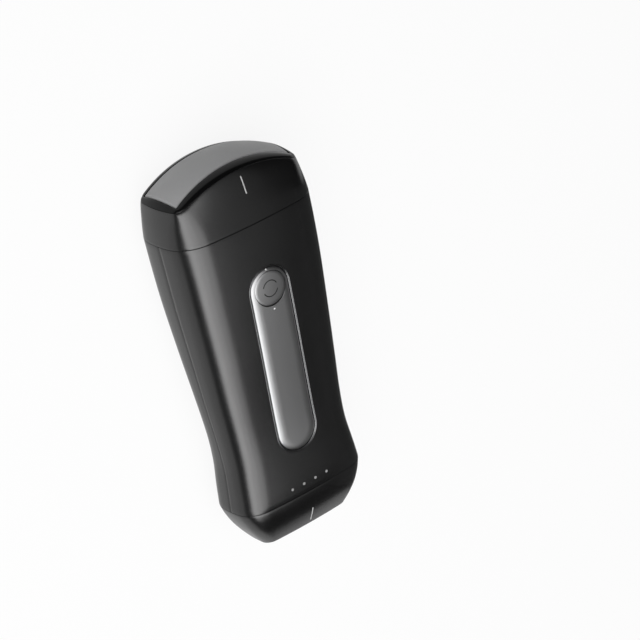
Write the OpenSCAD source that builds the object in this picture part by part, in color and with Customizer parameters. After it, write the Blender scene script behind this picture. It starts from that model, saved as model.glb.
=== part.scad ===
// Double-ended wireless ultrasound scanner: a curved array in one head, a flat one in the other.
// Millimetres. X is across the grip, +Y runs to the curved head and +Z is out of the front face.
// The scanner lies on its back: Z = 0 is the flat of the back, and Y = 0 is half way along.

/* [Grip] */
// Length of the grip between the two head seams
grip_l = 113.6; // [108:0.1:125]
// Greatest width of the grip
grip_w = 63.6; // [58:0.1:75]
// Height of the front face above the middle plane
front_h = 18.9; // [17.5:0.1:23]
// Depth of the back face below the middle plane
back_h = 18.4; // [17.8:0.1:22]
// Depth of the flat that is cut into the deepest part of the back
flat_cut = 1.2; // [0.6:0.1:1.4]
// Radius of the long rounded corners at their widest
corner_r = 12.4; // [11:0.1:14]
// Radius of the slight crown across the front and back faces
crown_r = 205; // [150:1:400]
// Radius of the slight crown of the side faces
side_r = 50; // [42:1:90]
// Wall of the shells and caps
wall = 2.2; // [1.6:0.1:2.6]
// Height of the long seam above the middle plane
split_z = 1.6; // [0:0.1:3]
// Width of the seams between shells and caps
seam_gap = 0.3; // [0.2:0.05:0.5]
// Length of the spigot that each cap has inside the grip
spigot_l = 3; // [2:0.1:3.1]

/* [Curved head] */
// Length of the curved head from its seam to the edge of the lens, on the centre line
convex_l = 22.5; // [20:0.1:30]
// Radius of the curved array's lens at its edge
convex_r = 50; // [45:0.5:60]
// How far each end of the curved lens lies in from the grip's widest place
convex_in = 5.85; // [5.4:0.05:10.4]
// Thickness of the curved lens from front to back
convex_t = 20.7; // [18:0.1:22]
// Rise of the curved lens in the middle of its thickness
convex_bulge = 1.5; // [0.8:0.1:2]

/* [Flat head] */
// Length of the flat head from its seam to its rim
linear_l = 17.1; // [15:0.1:24]
// How far each end of the flat lens lies in from the grip's widest place
linear_in = 14.6; // [14.3:0.1:17.8]
// Thickness of the flat lens from front to back
linear_t = 9.5; // [8:0.1:10]
// How far the flat lens stands out of its rim
linear_proud = 0.55; // [0.3:0.05:1]

/* [Control panel] */
// Half width of the pocket for the panel, which is also the radius of its round ends
pocket_r = 9.4; // [9:0.1:11]
// Distance between the centres of the pocket's round ends
pocket_l = 60.1; // [50:0.1:66]
// Distance from the curved head's seam to the nearer round end's centre
pocket_from_seam = 26.8; // [25:0.1:30]
// Depth of the ledge that the panel sits on
ledge_d = 1.45; // [1.2:0.05:1.6]
// Width of the polished rim round the panel
rim_w = 0.75; // [0.5:0.05:1]
// Rise of the panel's middle over the front face
panel_rise = 0.35; // [0.2:0.05:0.5]

/* [Button] */
// Radius of the round button
button_r = 6.85; // [6:0.05:7]
// Travel of the button
button_travel = 0.4; // [0.2:0.05:0.5]
// Gap round the button
button_gap = 0.15; // [0.1:0.05:0.3]
// Radius of the button's stem
stem_r = 1.8; // [1.4:0.1:2]
// Radius of the broken circle on the button
mark_ring_r = 3.17; // [2.6:0.01:4]

/* [Lights and marks] */
// Distance between neighbouring status lights
status_pitch = 5.47; // [4:0.01:6]
// Distance of the row of status lights from the flat head's seam
status_from_seam = 4.07; // [3.9:0.01:4.6]
// Radius of a status light
status_r = 0.55; // [0.4:0.05:0.6]
// Radius of an indicator light beside the button
indicator_r = 0.35; // [0.25:0.05:0.4]
// Length of the centre mark on each head
mark_l = 6.65; // [5:0.05:8]
// Width of the centre marks
mark_w = 0.45; // [0.3:0.05:0.8]

/* [Inside] */
// Length of the battery
battery_l = 47; // [40:0.5:48]
// How far each side of the battery lies in from the grip's widest place
battery_in = 13.3; // [12.8:0.1:16.8]
// Room between the deepest part of the back shell's wall and the charging coil
battery_room = 2.7; // [2.5:0.1:4.1]
// Thickness of the main board
board_t = 1.6; // [1:0.1:1.8]
// Height of the main board's top over the middle plane
board_top = 6.8; // [6:0.1:7]
// Thickness of the chassis plate
chassis_t = 1.5; // [1.2:0.1:1.8]
// How far the charging coil's edge lies in from the battery's sides
coil_in = 3; // [2.5:0.1:6.5]
// Radius of the screws' shanks
screw_r = 1; // [0.8:0.1:1.2]

/* [Hidden] */

$fn = 48;

// One overrun serves every cut.
over = 0.5;
// Clearance between pieces that fit into each other.
fit = 0.1;
// Clearance of small loose pieces.
slack = 0.2;

overall_l = linear_proud + linear_l + grip_l + convex_l + convex_bulge;
mid_z = back_h - flat_cut;
convex_w = grip_w - 2 * convex_in;
linear_w = grip_w - 2 * linear_in;
battery_w = grip_w - 2 * battery_in;
coil_r = battery_w / 2 - coil_in;
linear_rim_y = -overall_l / 2 + linear_proud;
linear_seam_y = linear_rim_y + linear_l;
convex_seam_y = linear_seam_y + grip_l;
arc_y = convex_seam_y + convex_l - convex_r;
lens_half_a = asin(convex_w / 2 / convex_r);

// Shares of the grip, from the flat head's seam (0) to the curved head's (1).
grip_width_shares = [[0, 0.909], [0.07, 0.884], [0.16, 0.859], [0.26, 0.869], [0.4, 0.903],
    [0.58, 0.939], [0.77, 0.977], [0.9, 0.992], [1, 1]];
grip_front_shares = [[0, 0.802], [0.05, 0.811], [0.16, 0.784], [0.26, 0.79], [0.4, 0.838],
    [0.58, 0.912], [0.77, 0.973], [0.9, 1], [1, 0.994]];
grip_back_shares = [[0, 0.769], [0.07, 0.778], [0.16, 0.744], [0.26, 0.708], [0.4, 0.746],
    [0.58, 0.869], [0.77, 0.963], [0.9, 0.994], [1, 1]];
grip_corner_shares = [[0, 0.8], [0.26, 0.87], [0.58, 0.94], [1, 1]];

// Shares of the flat head, from its seam (0) to its rim (1), of the same sizes as the grip's.
linear_width_shares = [[0, 0.909], [0.22, 0.87], [0.5, 0.803], [0.77, 0.717], [1, 0.629]];
linear_front_shares = [[0, 0.802], [0.22, 0.778], [0.5, 0.694], [0.77, 0.565], [1, 0.434]];
linear_back_shares = [[0, 0.769], [0.22, 0.752], [0.5, 0.692], [0.77, 0.585], [1, 0.456]];
linear_corner_shares = [[0, 0.8], [0.22, 0.73], [0.5, 0.6], [0.77, 0.46], [1, 0.36]];

// Shares of the curved head, from its seam (0) to the lens (1); the cap ends before the lens.
convex_width_shares = [[0, 1], [0.25, 0.984], [0.5, 0.963], [0.8, 0.928], [1, 0.902]];
convex_front_shares = [[0, 0.994], [0.25, 0.968], [0.51, 0.911], [0.81, 0.833], [1, 0.735]];
convex_back_shares = [[0, 1], [0.25, 0.975], [0.51, 0.918], [0.81, 0.843], [1, 0.745]];
convex_corner_shares = [[0, 1], [0.25, 0.93], [0.51, 0.78], [0.81, 0.53], [1, 0.34]];
convex_cap_share = 0.91;

// Steps along each quarter of an outline and along the lofts.
side_steps = 3;
corner_steps = 7;
crown_steps = 4;
grip_steps = 22;
head_steps = 8;

function piece_of(tab, s, i = 0) = (i >= len(tab) - 2 || s < tab[i + 1][0]) ? i : piece_of(tab, s, i + 1);

function slope_of(tab, i) =
    let (a = max(i - 1, 0), b = min(i + 1, len(tab) - 1))
    (tab[b][1] - tab[a][1]) / (tab[b][0] - tab[a][0]);

// Smooth curve through a table of [place, share].
function share_at(tab, s) =
    let (i = piece_of(tab, s), h = tab[i + 1][0] - tab[i][0], u = (s - tab[i][0]) / h)
    (2 * u ^ 3 - 3 * u ^ 2 + 1) * tab[i][1] + (u ^ 3 - 2 * u ^ 2 + u) * h * slope_of(tab, i)
    + (3 * u ^ 2 - 2 * u ^ 3) * tab[i + 1][1] + (u ^ 3 - u ^ 2) * h * slope_of(tab, i + 1);

// Centre of the corner arc that touches the crown arc and the side arc from inside.
function corner_centre(w, h, r, crown, side) =
    let (a = crown - r, b = side - r, dx = w - side, dz = crown - h, d = norm([dx, dz]),
        l = (a ^ 2 - b ^ 2 + d ^ 2) / (2 * d), q = sqrt(max(0, a ^ 2 - l ^ 2)),
        ux = dx / d, uz = dz / d,
        c1 = [l * ux - q * uz, h - crown + l * uz + q * ux],
        c2 = [l * ux + q * uz, h - crown + l * uz - q * ux])
    c1.x + c1.y > c2.x + c2.y ? c1 : c2;

// A quarter of an outline, from the side at height z0 to the middle of the crown.
function quarter(w, h, r, crown, side, z0) =
    let (c = corner_centre(w, h, r, crown, side), a0 = asin(z0 / side),
        a1 = atan2(c.y, c.x - w + side), a2 = atan2(c.y - h + crown, c.x))
    concat(
        [for (i = [0 : side_steps - 1]) let (a = a0 + (a1 - a0) * i / side_steps)
            [w - side + side * cos(a), side * sin(a)]],
        [for (i = [0 : corner_steps - 1]) let (a = a1 + (a2 - a1) * i / corner_steps)
            [c.x + r * cos(a), c.y + r * sin(a)]],
        [for (i = [0 : crown_steps]) let (a = a2 + (90 - a2) * i / crown_steps)
            [crown * cos(a), h - crown + crown * sin(a)]]);

// From the +X side over the crown to the -X side.
function half_outline(w, h, r, crown, side, z0) =
    let (q = quarter(w, h, r, crown, side, z0))
    concat(q, [for (i = [len(q) - 2 : -1 : 0]) [-q[i].x, q[i].y]]);

// A whole outline, with its own height in front and behind.
function whole_outline(w, hf, hb, r, crown, side) =
    let (f = half_outline(w, hf, r, crown, side, 0), b = half_outline(w, hb, r, crown, side, 0))
    concat(f, [for (i = [len(b) - 2 : -1 : 1]) [b[i].x, -b[i].y]]);

function grip_half(s, inset, back, z0) =
    half_outline(grip_w / 2 * share_at(grip_width_shares, s) - inset,
        (back ? back_h * share_at(grip_back_shares, s) : front_h * share_at(grip_front_shares, s)) - inset,
        corner_r * share_at(grip_corner_shares, s) - inset, crown_r - inset, side_r - inset, z0);

function grip_loop(s, inset) =
    whole_outline(grip_w / 2 * share_at(grip_width_shares, s) - inset,
        front_h * share_at(grip_front_shares, s) - inset, back_h * share_at(grip_back_shares, s) - inset,
        corner_r * share_at(grip_corner_shares, s) - inset, crown_r - inset, side_r - inset);

function grip_s(y) = (y - linear_seam_y) / grip_l;

// Height of the front face over the middle plane, on the grip.
function front_z(x, y) = front_h * share_at(grip_front_shares, grip_s(y)) - x ^ 2 / (2 * crown_r);

// No corner gets sharper than this.
small_corner_r = 0.4;

// Ring of the flat head at share t, set in from the outside by inset and moved out by back_off.
function linear_ring(t, inset, back_off = 0) =
    let (r = max(corner_r * share_at(linear_corner_shares, t) - inset, small_corner_r),
        o = whole_outline(grip_w / 2 * share_at(linear_width_shares, t) - inset,
            front_h * share_at(linear_front_shares, t) - inset,
            back_h * share_at(linear_back_shares, t) - inset, r, crown_r - inset, side_r - inset))
    [for (p = o) [p.x, linear_seam_y - linear_l * t - back_off, mid_z + p.y]];

// The lens's arc, which runs on level past the lens's ends.
function lens_arc_y(x) = arc_y + sqrt(convex_r ^ 2 - min(abs(x), convex_w / 2) ^ 2);

// Ring of the curved head at share t: it bends from the flat seam to the arc of the lens.
function convex_ring(t, inset, back_off = 0) =
    let (r = max(corner_r * share_at(convex_corner_shares, t) - inset, small_corner_r),
        o = whole_outline(grip_w / 2 * share_at(convex_width_shares, t) - inset,
            front_h * share_at(convex_front_shares, t) - inset,
            back_h * share_at(convex_back_shares, t) - inset, r, crown_r - inset, side_r - inset))
    [for (p = o) [p.x, convex_seam_y + (lens_arc_y(p.x) - convex_seam_y) * t - back_off, mid_z + p.y]];

// Ring of the grip's own outline at a place near a seam.
function seam_ring(y, inset) =
    [for (p = grip_loop(grip_s(y), inset)) [p.x, y, mid_z + p.y]];

// Faces between neighbouring loops of n points.
function band_faces(n, k, flip) =
    [for (i = [0 : n - 1]) for (half = [0, 1])
        let (a = k[0] * n + i, b = k[0] * n + (i + 1) % n, c = k[1] * n + (i + 1) % n, d = k[1] * n + i,
            f = half == 0 ? [a, b, c] : [a, c, d])
        flip ? [f[2], f[1], f[0]] : f];

// Closed ring through a round of loops: the last one joins the first.
module loop_ring(loops, flip = false) {
    n = len(loops[0]);
    m = len(loops);
    polyhedron([for (l = loops) for (p = l) p],
        [for (k = [0 : m - 1]) each band_faces(n, [k, (k + 1) % m], flip)], convexity = 8);
}

// Solid through a row of loops. Each loop runs along one side of its section and back along
// the other, so strips between the two sides close its ends.
module loop_solid(loops, flip = false) {
    n = len(loops[0]);
    m = len(loops);
    polyhedron([for (l = loops) for (p = l) p],
        concat([for (k = [0 : m - 2]) each band_faces(n, [k, k + 1], flip)],
            end_faces(n, 0, !flip), end_faces(n, (m - 1) * n, flip)), convexity = 8);
}

function end_faces(n, base, flip) =
    [for (j = [0 : n / 2 - 2]) for (half = [0, 1])
        let (a = base + j, b = base + j + 1, c = base + n - 2 - j, d = base + n - 1 - j,
            f = half == 0 ? [a, b, c] : [a, c, d])
        flip ? [f[2], f[1], f[0]] : f];

// Half of the grip's wall; the loops run outside first, then back along the inside.
module half_shell(back) {
    z0 = back ? -split_z + seam_gap / 2 : split_z + seam_gap / 2;
    up = back ? -1 : 1;
    loop_solid([for (k = [0 : grip_steps]) let (s = k / grip_steps)
        let (y = linear_seam_y + seam_gap / 2 + (grip_l - seam_gap) * s, place = grip_s(y),
            o = grip_half(place, 0, back, z0), i = grip_half(place, wall, back, z0))
        concat([for (p = o) [p.x, y, mid_z + up * p.y]],
            [for (j = [len(i) - 1 : -1 : 0]) [i[j].x, y, mid_z + up * i[j].y]])], flip = back);
}

// Half-circle ended outline at the panel, set at a height over the front face; the points
// run round the end next to the curved head first.
end_steps = 10;
straight_steps = 8;
pocket_far_y = convex_seam_y - pocket_from_seam;
pocket_near_y = pocket_far_y - pocket_l;

function panel_outline(r) = concat(
    [for (i = [0 : end_steps]) let (a = 180 * i / end_steps) [r * cos(a), pocket_far_y + r * sin(a)]],
    [for (i = [1 : straight_steps - 1]) [-r, pocket_far_y - pocket_l * i / straight_steps]],
    [for (i = [0 : end_steps]) let (a = 180 + 180 * i / end_steps)
        [r * cos(a), pocket_near_y + r * sin(a)]],
    [for (i = [1 : straight_steps - 1]) [r, pocket_near_y + pocket_l * i / straight_steps]]);

function panel_loop(r, rise) =
    [for (p = panel_outline(r)) [p.x, p.y, mid_z + front_z(p.x, p.y) + rise]];

// Solid through panel loops from the bottom up. Its ends are strips across X, so each is flat.
module panel_solid(loops) {
    n = len(loops[0]);
    m = len(loops);
    rows = end_steps / 2 + straight_steps + end_steps / 2;
    // Row j of the cover joins point (end_steps / 2 - j) on the right to its mirror on the left.
    function right_of(j) = (end_steps / 2 - j + n) % n;
    function left_of(j) = (end_steps / 2 + j) % n;
    polyhedron([for (l = loops) for (p = l) p],
        concat([for (k = [0 : m - 2]) each band_faces(n, [k, k + 1], true)],
            [for (j = [0 : rows - 1]) each cover_row(right_of(j), left_of(j), right_of(j + 1),
                left_of(j + 1), 0, false)],
            [for (j = [0 : rows - 1]) each cover_row(right_of(j), left_of(j), right_of(j + 1),
                left_of(j + 1), (m - 1) * n, true)]), convexity = 8);
}

// One strip of a cover, as one or two triangles.
function cover_row(r0, l0, r1, l1, base, under) =
    let (t = r0 == l0 ? [[r0, l1, r1]] : (r1 == l1 ? [[r0, l0, r1]] : [[r0, l0, l1], [r0, l1, r1]]))
    [for (f = t) under ? [base + f[2], base + f[1], base + f[0]] : [base + f[0], base + f[1], base + f[2]]];

// Clearance of pieces laid into a pocket.
pocket_clear = 0.05;
ledge_w = 1.5;
panel_r = pocket_r - pocket_clear - rim_w - fit;
button_off = 0.3;
button_y = pocket_far_y + button_off;
// One indicator sits between the button and the panel's end, the other just past the button.
indicator_off_near = 1.5;
indicator_ys = [(button_y + button_r + button_gap + pocket_far_y + panel_r) / 2,
    button_y - button_r - button_gap - indicator_off_near];
status_count = 4;
status_y = linear_seam_y + status_from_seam;
status_xs = [for (i = [0 : status_count - 1]) (i - (status_count - 1) / 2) * status_pitch];

module light_holes(r) {
    for (y = indicator_ys)
        translate([0, y, mid_z])
            cylinder(r = r, h = front_h + over);
}

module front_shell() {
    color("#26282a")
    difference() {
        half_shell(false);
        panel_solid([panel_loop(pocket_r, -ledge_d), panel_loop(pocket_r, over)]);
        panel_solid([panel_loop(pocket_r - ledge_w, -wall - over),
            panel_loop(pocket_r - ledge_w, -ledge_d / 2)]);
        light_holes(indicator_r + fit);
        for (x = status_xs)
            translate([x, status_y, mid_z])
                cylinder(r = status_r + pocket_clear, h = front_h + over);
    }
}

// Bosses of the back shell that carry the chassis, two beside the battery and two past it.
boss_r = 3;
boss_near_in = 15.8;
boss_far_in = 8.2;
boss_near_x = grip_w / 2 - boss_near_in;
boss_far_x = grip_w / 2 - boss_far_in;
boss_near_off = 16;
boss_far_off = 29.5;
boss_near_y = linear_seam_y + boss_near_off;
boss_far_y = convex_seam_y - boss_far_off;
boss_places = [for (sx = [-1, 1]) each [[sx * boss_near_x, boss_near_y], [sx * boss_far_x, boss_far_y]]];
pad_t = 0.5;
coil_t = 0.8;
ferrite_t = 0.6;
chassis_bottom = -3.2;
battery_top = chassis_bottom - pad_t;
battery_t = battery_top + back_h - wall - battery_room - coil_t - ferrite_t;
coil_bottom = battery_top - battery_t - ferrite_t - coil_t;
coil_far_off = 8;
coil_seat_over = 0.8;
coil_y = convex_seam_y - coil_far_off - coil_r;
coil_seat_r = coil_r + coil_seat_over;
screw_bite = 4;

function back_depth(x, y, inset) =
    let (s = grip_s(y), w = grip_w / 2 * share_at(grip_width_shares, s) - inset,
        h = back_h * share_at(grip_back_shares, s) - inset,
        r = corner_r * share_at(grip_corner_shares, s) - inset,
        c = corner_centre(w, h, r, crown_r - inset, side_r - inset))
    abs(x) <= c.x ? h - x ^ 2 / (2 * crown_r) : c.y + sqrt(max(0, r ^ 2 - (abs(x) - c.x) ^ 2));

// What the flat on the back takes away, where the scanner lies.
module under_flat() {
    translate([-grip_w / 2, -overall_l / 2, -back_h])
        cube([grip_w, overall_l, back_h]);
}

module back_shell() {
    color("#1e2022")
    difference() {
        union() {
            half_shell(true);
            for (p = boss_places) {
                reach = back_depth(abs(p.x) + boss_r, p.y, wall / 2);
                translate([p.x, p.y, mid_z - reach])
                    cylinder(r = boss_r, h = reach + chassis_bottom);
            }
            seat_reach = back_depth(coil_seat_r, coil_y - coil_seat_r, wall / 2);
            translate([0, coil_y, mid_z - seat_reach])
                cylinder(r = coil_seat_r, h = seat_reach + coil_bottom);
        }
        under_flat();
        for (p = boss_places)
            translate([p.x, p.y, mid_z + chassis_bottom - screw_bite])
                cylinder(r = screw_r + fit / 2, h = screw_bite + over);
    }
}

// The seals lie in the inner part of the wall, past the depth of the flat.
seal_out = flat_cut + fit;
seal_in = wall - fit;

module side_seals() {
    color("#3a3a3a")
    for (sx = [-1, 1])
        loop_solid([for (k = [0 : grip_steps])
            let (y = linear_seam_y + seam_gap / 2 + (grip_l - seam_gap) * k / grip_steps, s = grip_s(y),
                w = grip_w / 2 * share_at(grip_width_shares, s), lift = seam_gap / 2,
                a = w - seal_out, b = w - seal_in)
            [[sx * a, y, mid_z + split_z - lift], [sx * a, y, mid_z + split_z + lift],
                [sx * b, y, mid_z + split_z + lift], [sx * b, y, mid_z + split_z - lift]]], flip = sx < 0);
}

// A cap: its outside from the seam to its end, back along the inside, and a spigot into the grip.
cap_mid_steps = 4;
spigot_t = 1.2;
neck_l = 1.5;

module convex_cap() {
    color("#1f2123")
    difference() {
        loop_ring(concat(
            [convex_ring(0, 0, -seam_gap / 2)],
            [for (k = [1 : head_steps]) convex_ring(convex_cap_share * k / head_steps, 0)],
            [for (k = [cap_mid_steps : -1 : 1]) convex_ring(convex_cap_share * k / cap_mid_steps, wall)],
            [convex_ring(neck_l / convex_l, wall + fit + spigot_t),
                seam_ring(convex_seam_y - spigot_l, wall + fit + spigot_t),
                seam_ring(convex_seam_y - spigot_l, wall + fit), convex_ring(0, wall + fit, -seam_gap / 2)]));
        under_flat();
        mark_strip(true, pocket_clear);
    }
}

// The flat head's wall thins towards its rim.
linear_rim_share = 0.6;

function linear_wall(t) = wall * (1 - (1 - linear_rim_share) * t);

module linear_cap() {
    edge = seam_gap / 2 / linear_l;
    color("#1f2123")
    difference() {
        loop_ring(concat(
            [for (k = [0 : head_steps]) linear_ring(edge + (1 - edge) * k / head_steps, 0)],
            [for (k = [cap_mid_steps : -1 : 1]) let (t = k / cap_mid_steps) linear_ring(t, linear_wall(t))],
            [linear_ring(neck_l / linear_l, wall + fit + spigot_t),
                seam_ring(linear_seam_y + spigot_l, wall + fit + spigot_t),
                seam_ring(linear_seam_y + spigot_l, wall + fit), linear_ring(edge, wall + fit)]),
            flip = true);
        mark_strip(false, pocket_clear);
    }
}

// Flat gaskets in the head seams.
module head_seal(y) {
    color("#3a3a3a")
    loop_ring([seam_ring(y - seam_gap / 2, seal_out), seam_ring(y + seam_gap / 2, seal_out),
        seam_ring(y + seam_gap / 2, seal_in), seam_ring(y - seam_gap / 2, seal_in)]);
}

module convex_seal() {
    head_seal(convex_seam_y);
}

module linear_seal() {
    head_seal(linear_seam_y);
}

// Printed centre marks, inlaid in the caps.
mark_depth = 0.3;
mark_steps = 6;
convex_mark_from_seam = 11.55;
linear_mark_from_seam = 8.72;

function head_front_z(curved, off) = curved
    ? front_h * share_at(convex_front_shares, off / convex_l)
    : front_h * share_at(linear_front_shares, off / linear_l);

module mark_strip(curved, clear) {
    from = (curved ? convex_mark_from_seam : linear_mark_from_seam) - clear;
    length = mark_l + 2 * clear;
    half = mark_w / 2 + clear;
    top = clear > 0 ? over : 0;
    loop_solid([for (k = [0 : mark_steps])
        let (off = from + length * k / mark_steps, z = mid_z + head_front_z(curved, off),
            y = curved ? convex_seam_y + off : linear_seam_y - off)
        [[-half, y, z - mark_depth - clear], [half, y, z - mark_depth - clear], [half, y, z + top],
            [-half, y, z + top]]], flip = !curved);
}

module convex_mark() {
    color("#c8c8c8")
    mark_strip(true, 0);
}

module linear_mark() {
    color("#c8c8c8")
    mark_strip(false, 0);
}

// A place on the curved lens, x across and z over the middle plane, moved out by lift.
function on_lens(x, z, lift) =
    let (a = asin(x / convex_r), h = convex_t / 2,
        r = convex_r + convex_bulge * (1 - min(1, abs(z) / h) ^ 2) + lift)
    [r * sin(a), arc_y + r * cos(a), mid_z + z];

lens_crown_r = 20000;
bezel_depth = 6;
bezel_foot = 1.2;

function convex_lens_loop(grow, lift) =
    [for (p = whole_outline(convex_w / 2 + grow, convex_t / 2 + grow, convex_t / 2 + grow, small_corner_r,
        lens_crown_r, lens_crown_r)) on_lens(p.x, p.y, lift)];

// The bezel sits on the cap's end, with a lip inside the cap, and lines the lens's pocket.
module convex_bezel() {
    start = convex_cap_share + fit / convex_l;
    color("#0d0d0e")
    loop_ring([
        convex_ring(start, 0),
        mix_loop(convex_ring(start, 0), convex_lens_loop(fit, 0), bezel_mid_share, bezel_mid_lift, false),
        convex_lens_loop(fit, 0),
        convex_lens_loop(fit, -bezel_depth),
        convex_lens_loop(fit + bezel_foot, -bezel_depth),
        convex_ring(start, wall + fit, bezel_foot),
        convex_ring(start, wall + fit)]);
}

// A loop between two others, pushed out along the head to round the bezel off.
bezel_mid_share = 0.5;
bezel_mid_lift = 0.35;

function mix_loop(a, b, share, lift, linear) =
    [for (i = [0 : len(a) - 1]) a[i] * (1 - share) + b[i] * share
        + [0, linear ? -lift : lift, sign(a[i].z - mid_z) * lift]];

// A sector of the curved stack between two radii.
module sector(r_in, r_out, half_a, half_h) {
    translate([0, arc_y, mid_z])
        rotate([0, 0, 90 - half_a])
            rotate_extrude(angle = 2 * half_a)
                translate([r_in, -half_h])
                    square([r_out - r_in, 2 * half_h]);
}

lens_depth = 2;
lens_arc_steps = 12;

module convex_lens() {
    h = convex_t / 2;
    color("#8f9192")
    translate([0, arc_y, mid_z])
        rotate([0, 0, 90 - lens_half_a])
            rotate_extrude(angle = 2 * lens_half_a, $fn = 96)
                polygon(concat([[convex_r - lens_depth, -h]],
                    [for (i = [-lens_arc_steps / 2 : lens_arc_steps / 2])
                        let (z = h * i / (lens_arc_steps / 2))
                        [convex_r + convex_bulge * (1 - (z / h) ^ 2), z]],
                    [[convex_r - lens_depth, h]]));
}

array_half_h = 6.8;
array_side = 1.2;
matching_t = 0.6;
crystal_t = 0.5;
convex_backing_t = 9.5;
convex_stack_a = asin((convex_w / 2 - array_side) / convex_r);
matching_out = convex_r - lens_depth;
crystal_out = matching_out - matching_t;
backing_out = crystal_out - crystal_t;
backing_in = backing_out - convex_backing_t;

module convex_matching_layer() {
    color("#9c8f4a")
    sector(crystal_out, matching_out, convex_stack_a, array_half_h);
}

module convex_crystals() {
    color("#b8a88a")
    sector(backing_out, crystal_out, convex_stack_a, array_half_h);
}

module convex_backing() {
    color("#2b2b2b")
    sector(backing_in, backing_out, convex_stack_a, array_half_h);
}

function linear_lens_loop(grow, off) =
    [for (p = whole_outline(linear_w / 2 + grow, linear_t / 2 + grow, linear_t / 2 + grow, small_corner_r,
        lens_crown_r, lens_crown_r)) [p.x, linear_rim_y - off, mid_z + p.y]];

module linear_bezel() {
    color("#0d0d0e")
    loop_ring([
        linear_ring(1, 0, fit),
        mix_loop(linear_ring(1, 0, fit), linear_lens_loop(fit, linear_edge), bezel_mid_share,
            linear_round, true),
        linear_lens_loop(fit, linear_edge),
        linear_lens_loop(fit, -linear_bezel_depth),
        linear_lens_loop(fit + linear_foot, -linear_bezel_depth),
        linear_ring(1, linear_wall(1) + fit, -linear_lip),
        linear_ring(1, linear_wall(1) + fit, fit)], flip = true);
}

linear_edge = 0.3;
linear_round = 0.12;
linear_bezel_depth = 4;
linear_foot = 0.9;
linear_lip = 2;
linear_lens_t = 2.2;
linear_backing_t = 8;
linear_side = 0.9;

module linear_lens() {
    face_y = linear_rim_y - linear_proud;
    color("#b4b6b8")
    translate([0, face_y + linear_lens_t, mid_z])
        rotate([90, 0, 0])
            linear_extrude(linear_lens_t)
                square([linear_w, linear_t], center = true);
}

module linear_block(off, t) {
    translate([0, linear_rim_y - linear_proud + off, mid_z])
        translate([-linear_w / 2 + linear_side, 0, -linear_t / 2 + linear_side])
            cube([linear_w - 2 * linear_side, t, linear_t - 2 * linear_side]);
}

module linear_matching_layer() {
    color("#9c8f4a")
    linear_block(linear_lens_t, matching_t);
}

module linear_crystals() {
    color("#b8a88a")
    linear_block(linear_lens_t + matching_t, crystal_t);
}

module linear_backing() {
    color("#2b2b2b")
    linear_block(linear_lens_t + matching_t + crystal_t, linear_backing_t);
}

// The thin polished rim that lines the pocket.
rim_crest = 0.12;
rim_drop = 0.5;

module panel_rim() {
    out_r = pocket_r - pocket_clear;
    color("#8a8c8e")
    loop_ring([
        panel_loop(out_r, -ledge_d),
        panel_loop(out_r, 0),
        panel_loop(out_r - rim_w / 2, rim_crest),
        panel_loop(out_r - rim_w, -rim_drop),
        panel_loop(out_r - rim_w, -ledge_d)], flip = true);
}

// The silver panel, rolled down at its edge. Each row is an inset from its edge and a height.
roll_w = 3.2;
roll_d = 1.15;
panel_roll_shares = [[0, 0], [0.05, 0.3], [0.16, 0.55], [0.36, 0.78], [0.64, 0.93], [1, 1]];

module control_panel() {
    color("#b9babb")
    difference() {
        panel_solid(concat([panel_loop(panel_r, -ledge_d)],
            [for (s = panel_roll_shares)
                panel_loop(panel_r - roll_w * s[0], panel_rise - roll_d * (1 - s[1]))]));
        translate([0, button_y, mid_z])
            cylinder(r = button_r + button_gap, h = front_h + over);
        light_holes(indicator_r + pocket_clear);
    }
}

// The button: a crowned cap with a stem and two small tabs that keep it under the panel.
front_slope = atan((front_z(0, button_y + button_r) - front_z(0, button_y - button_r)) / (2 * button_r));
button_top = mid_z + front_z(0, button_y) + panel_rise;
button_crown_r = 80;
panel_under = mid_z + front_z(0, button_y) - ledge_d;
tab_t = 0.8;
tab_drop = 0.35;
tab_w = 3.6;
tab_out = 0.5;
button_under = panel_under - tab_drop - tab_t;
switch_h = 3.5;
plunger_h = 1.3;
stem_bottom = mid_z + board_top + switch_h + plunger_h;

module button() {
    color("#b3b4b5")
    difference() {
        union() {
            intersection() {
                translate([0, button_y, button_under])
                    cylinder(r = button_r, h = button_top - button_under + over, $fn = 96);
                translate([0, button_y, button_top])
                    rotate([front_slope, 0, 0])
                        translate([0, 0, -button_crown_r])
                            sphere(r = button_crown_r, $fn = 200);
            }
            translate([-button_r - tab_out, button_y - tab_w / 2, button_under])
                cube([2 * (button_r + tab_out), tab_w, tab_t]);
            translate([0, button_y, stem_bottom])
                cylinder(r = stem_r, h = button_under - stem_bottom);
        }
        mark_arcs(pocket_clear, over);
    }
}

// The broken circle on the button, laid into a groove: a thin ring with a gap on each side.
mark_ring_w = 0.42;
mark_ring_gap_a = 40;
mark_ring_t = 0.2;
mark_ring_drop = 0.27;

module mark_arcs(clear, h) {
    translate([0, button_y, button_top])
        rotate([front_slope, 0, 0])
            for (turn = [0, 180])
                rotate([0, 0, turn + mark_ring_gap_a / 2])
                    rotate_extrude(angle = 180 - mark_ring_gap_a)
                        translate([mark_ring_r - mark_ring_w / 2 - clear, -mark_ring_drop])
                            square([mark_ring_w + 2 * clear, h]);
}

module button_mark() {
    color("#4a4b4c")
    mark_arcs(0, mark_ring_t);
}

// A bridge on the board that guides the stem over the switch.
guide_w = 20;
guide_l = 11;
guide_t = 1.5;
guide_leg_t = 1.4;
guide_top = 13.8;
seal_t = 0.9;
stem_seal_w = 1.4;

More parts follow.
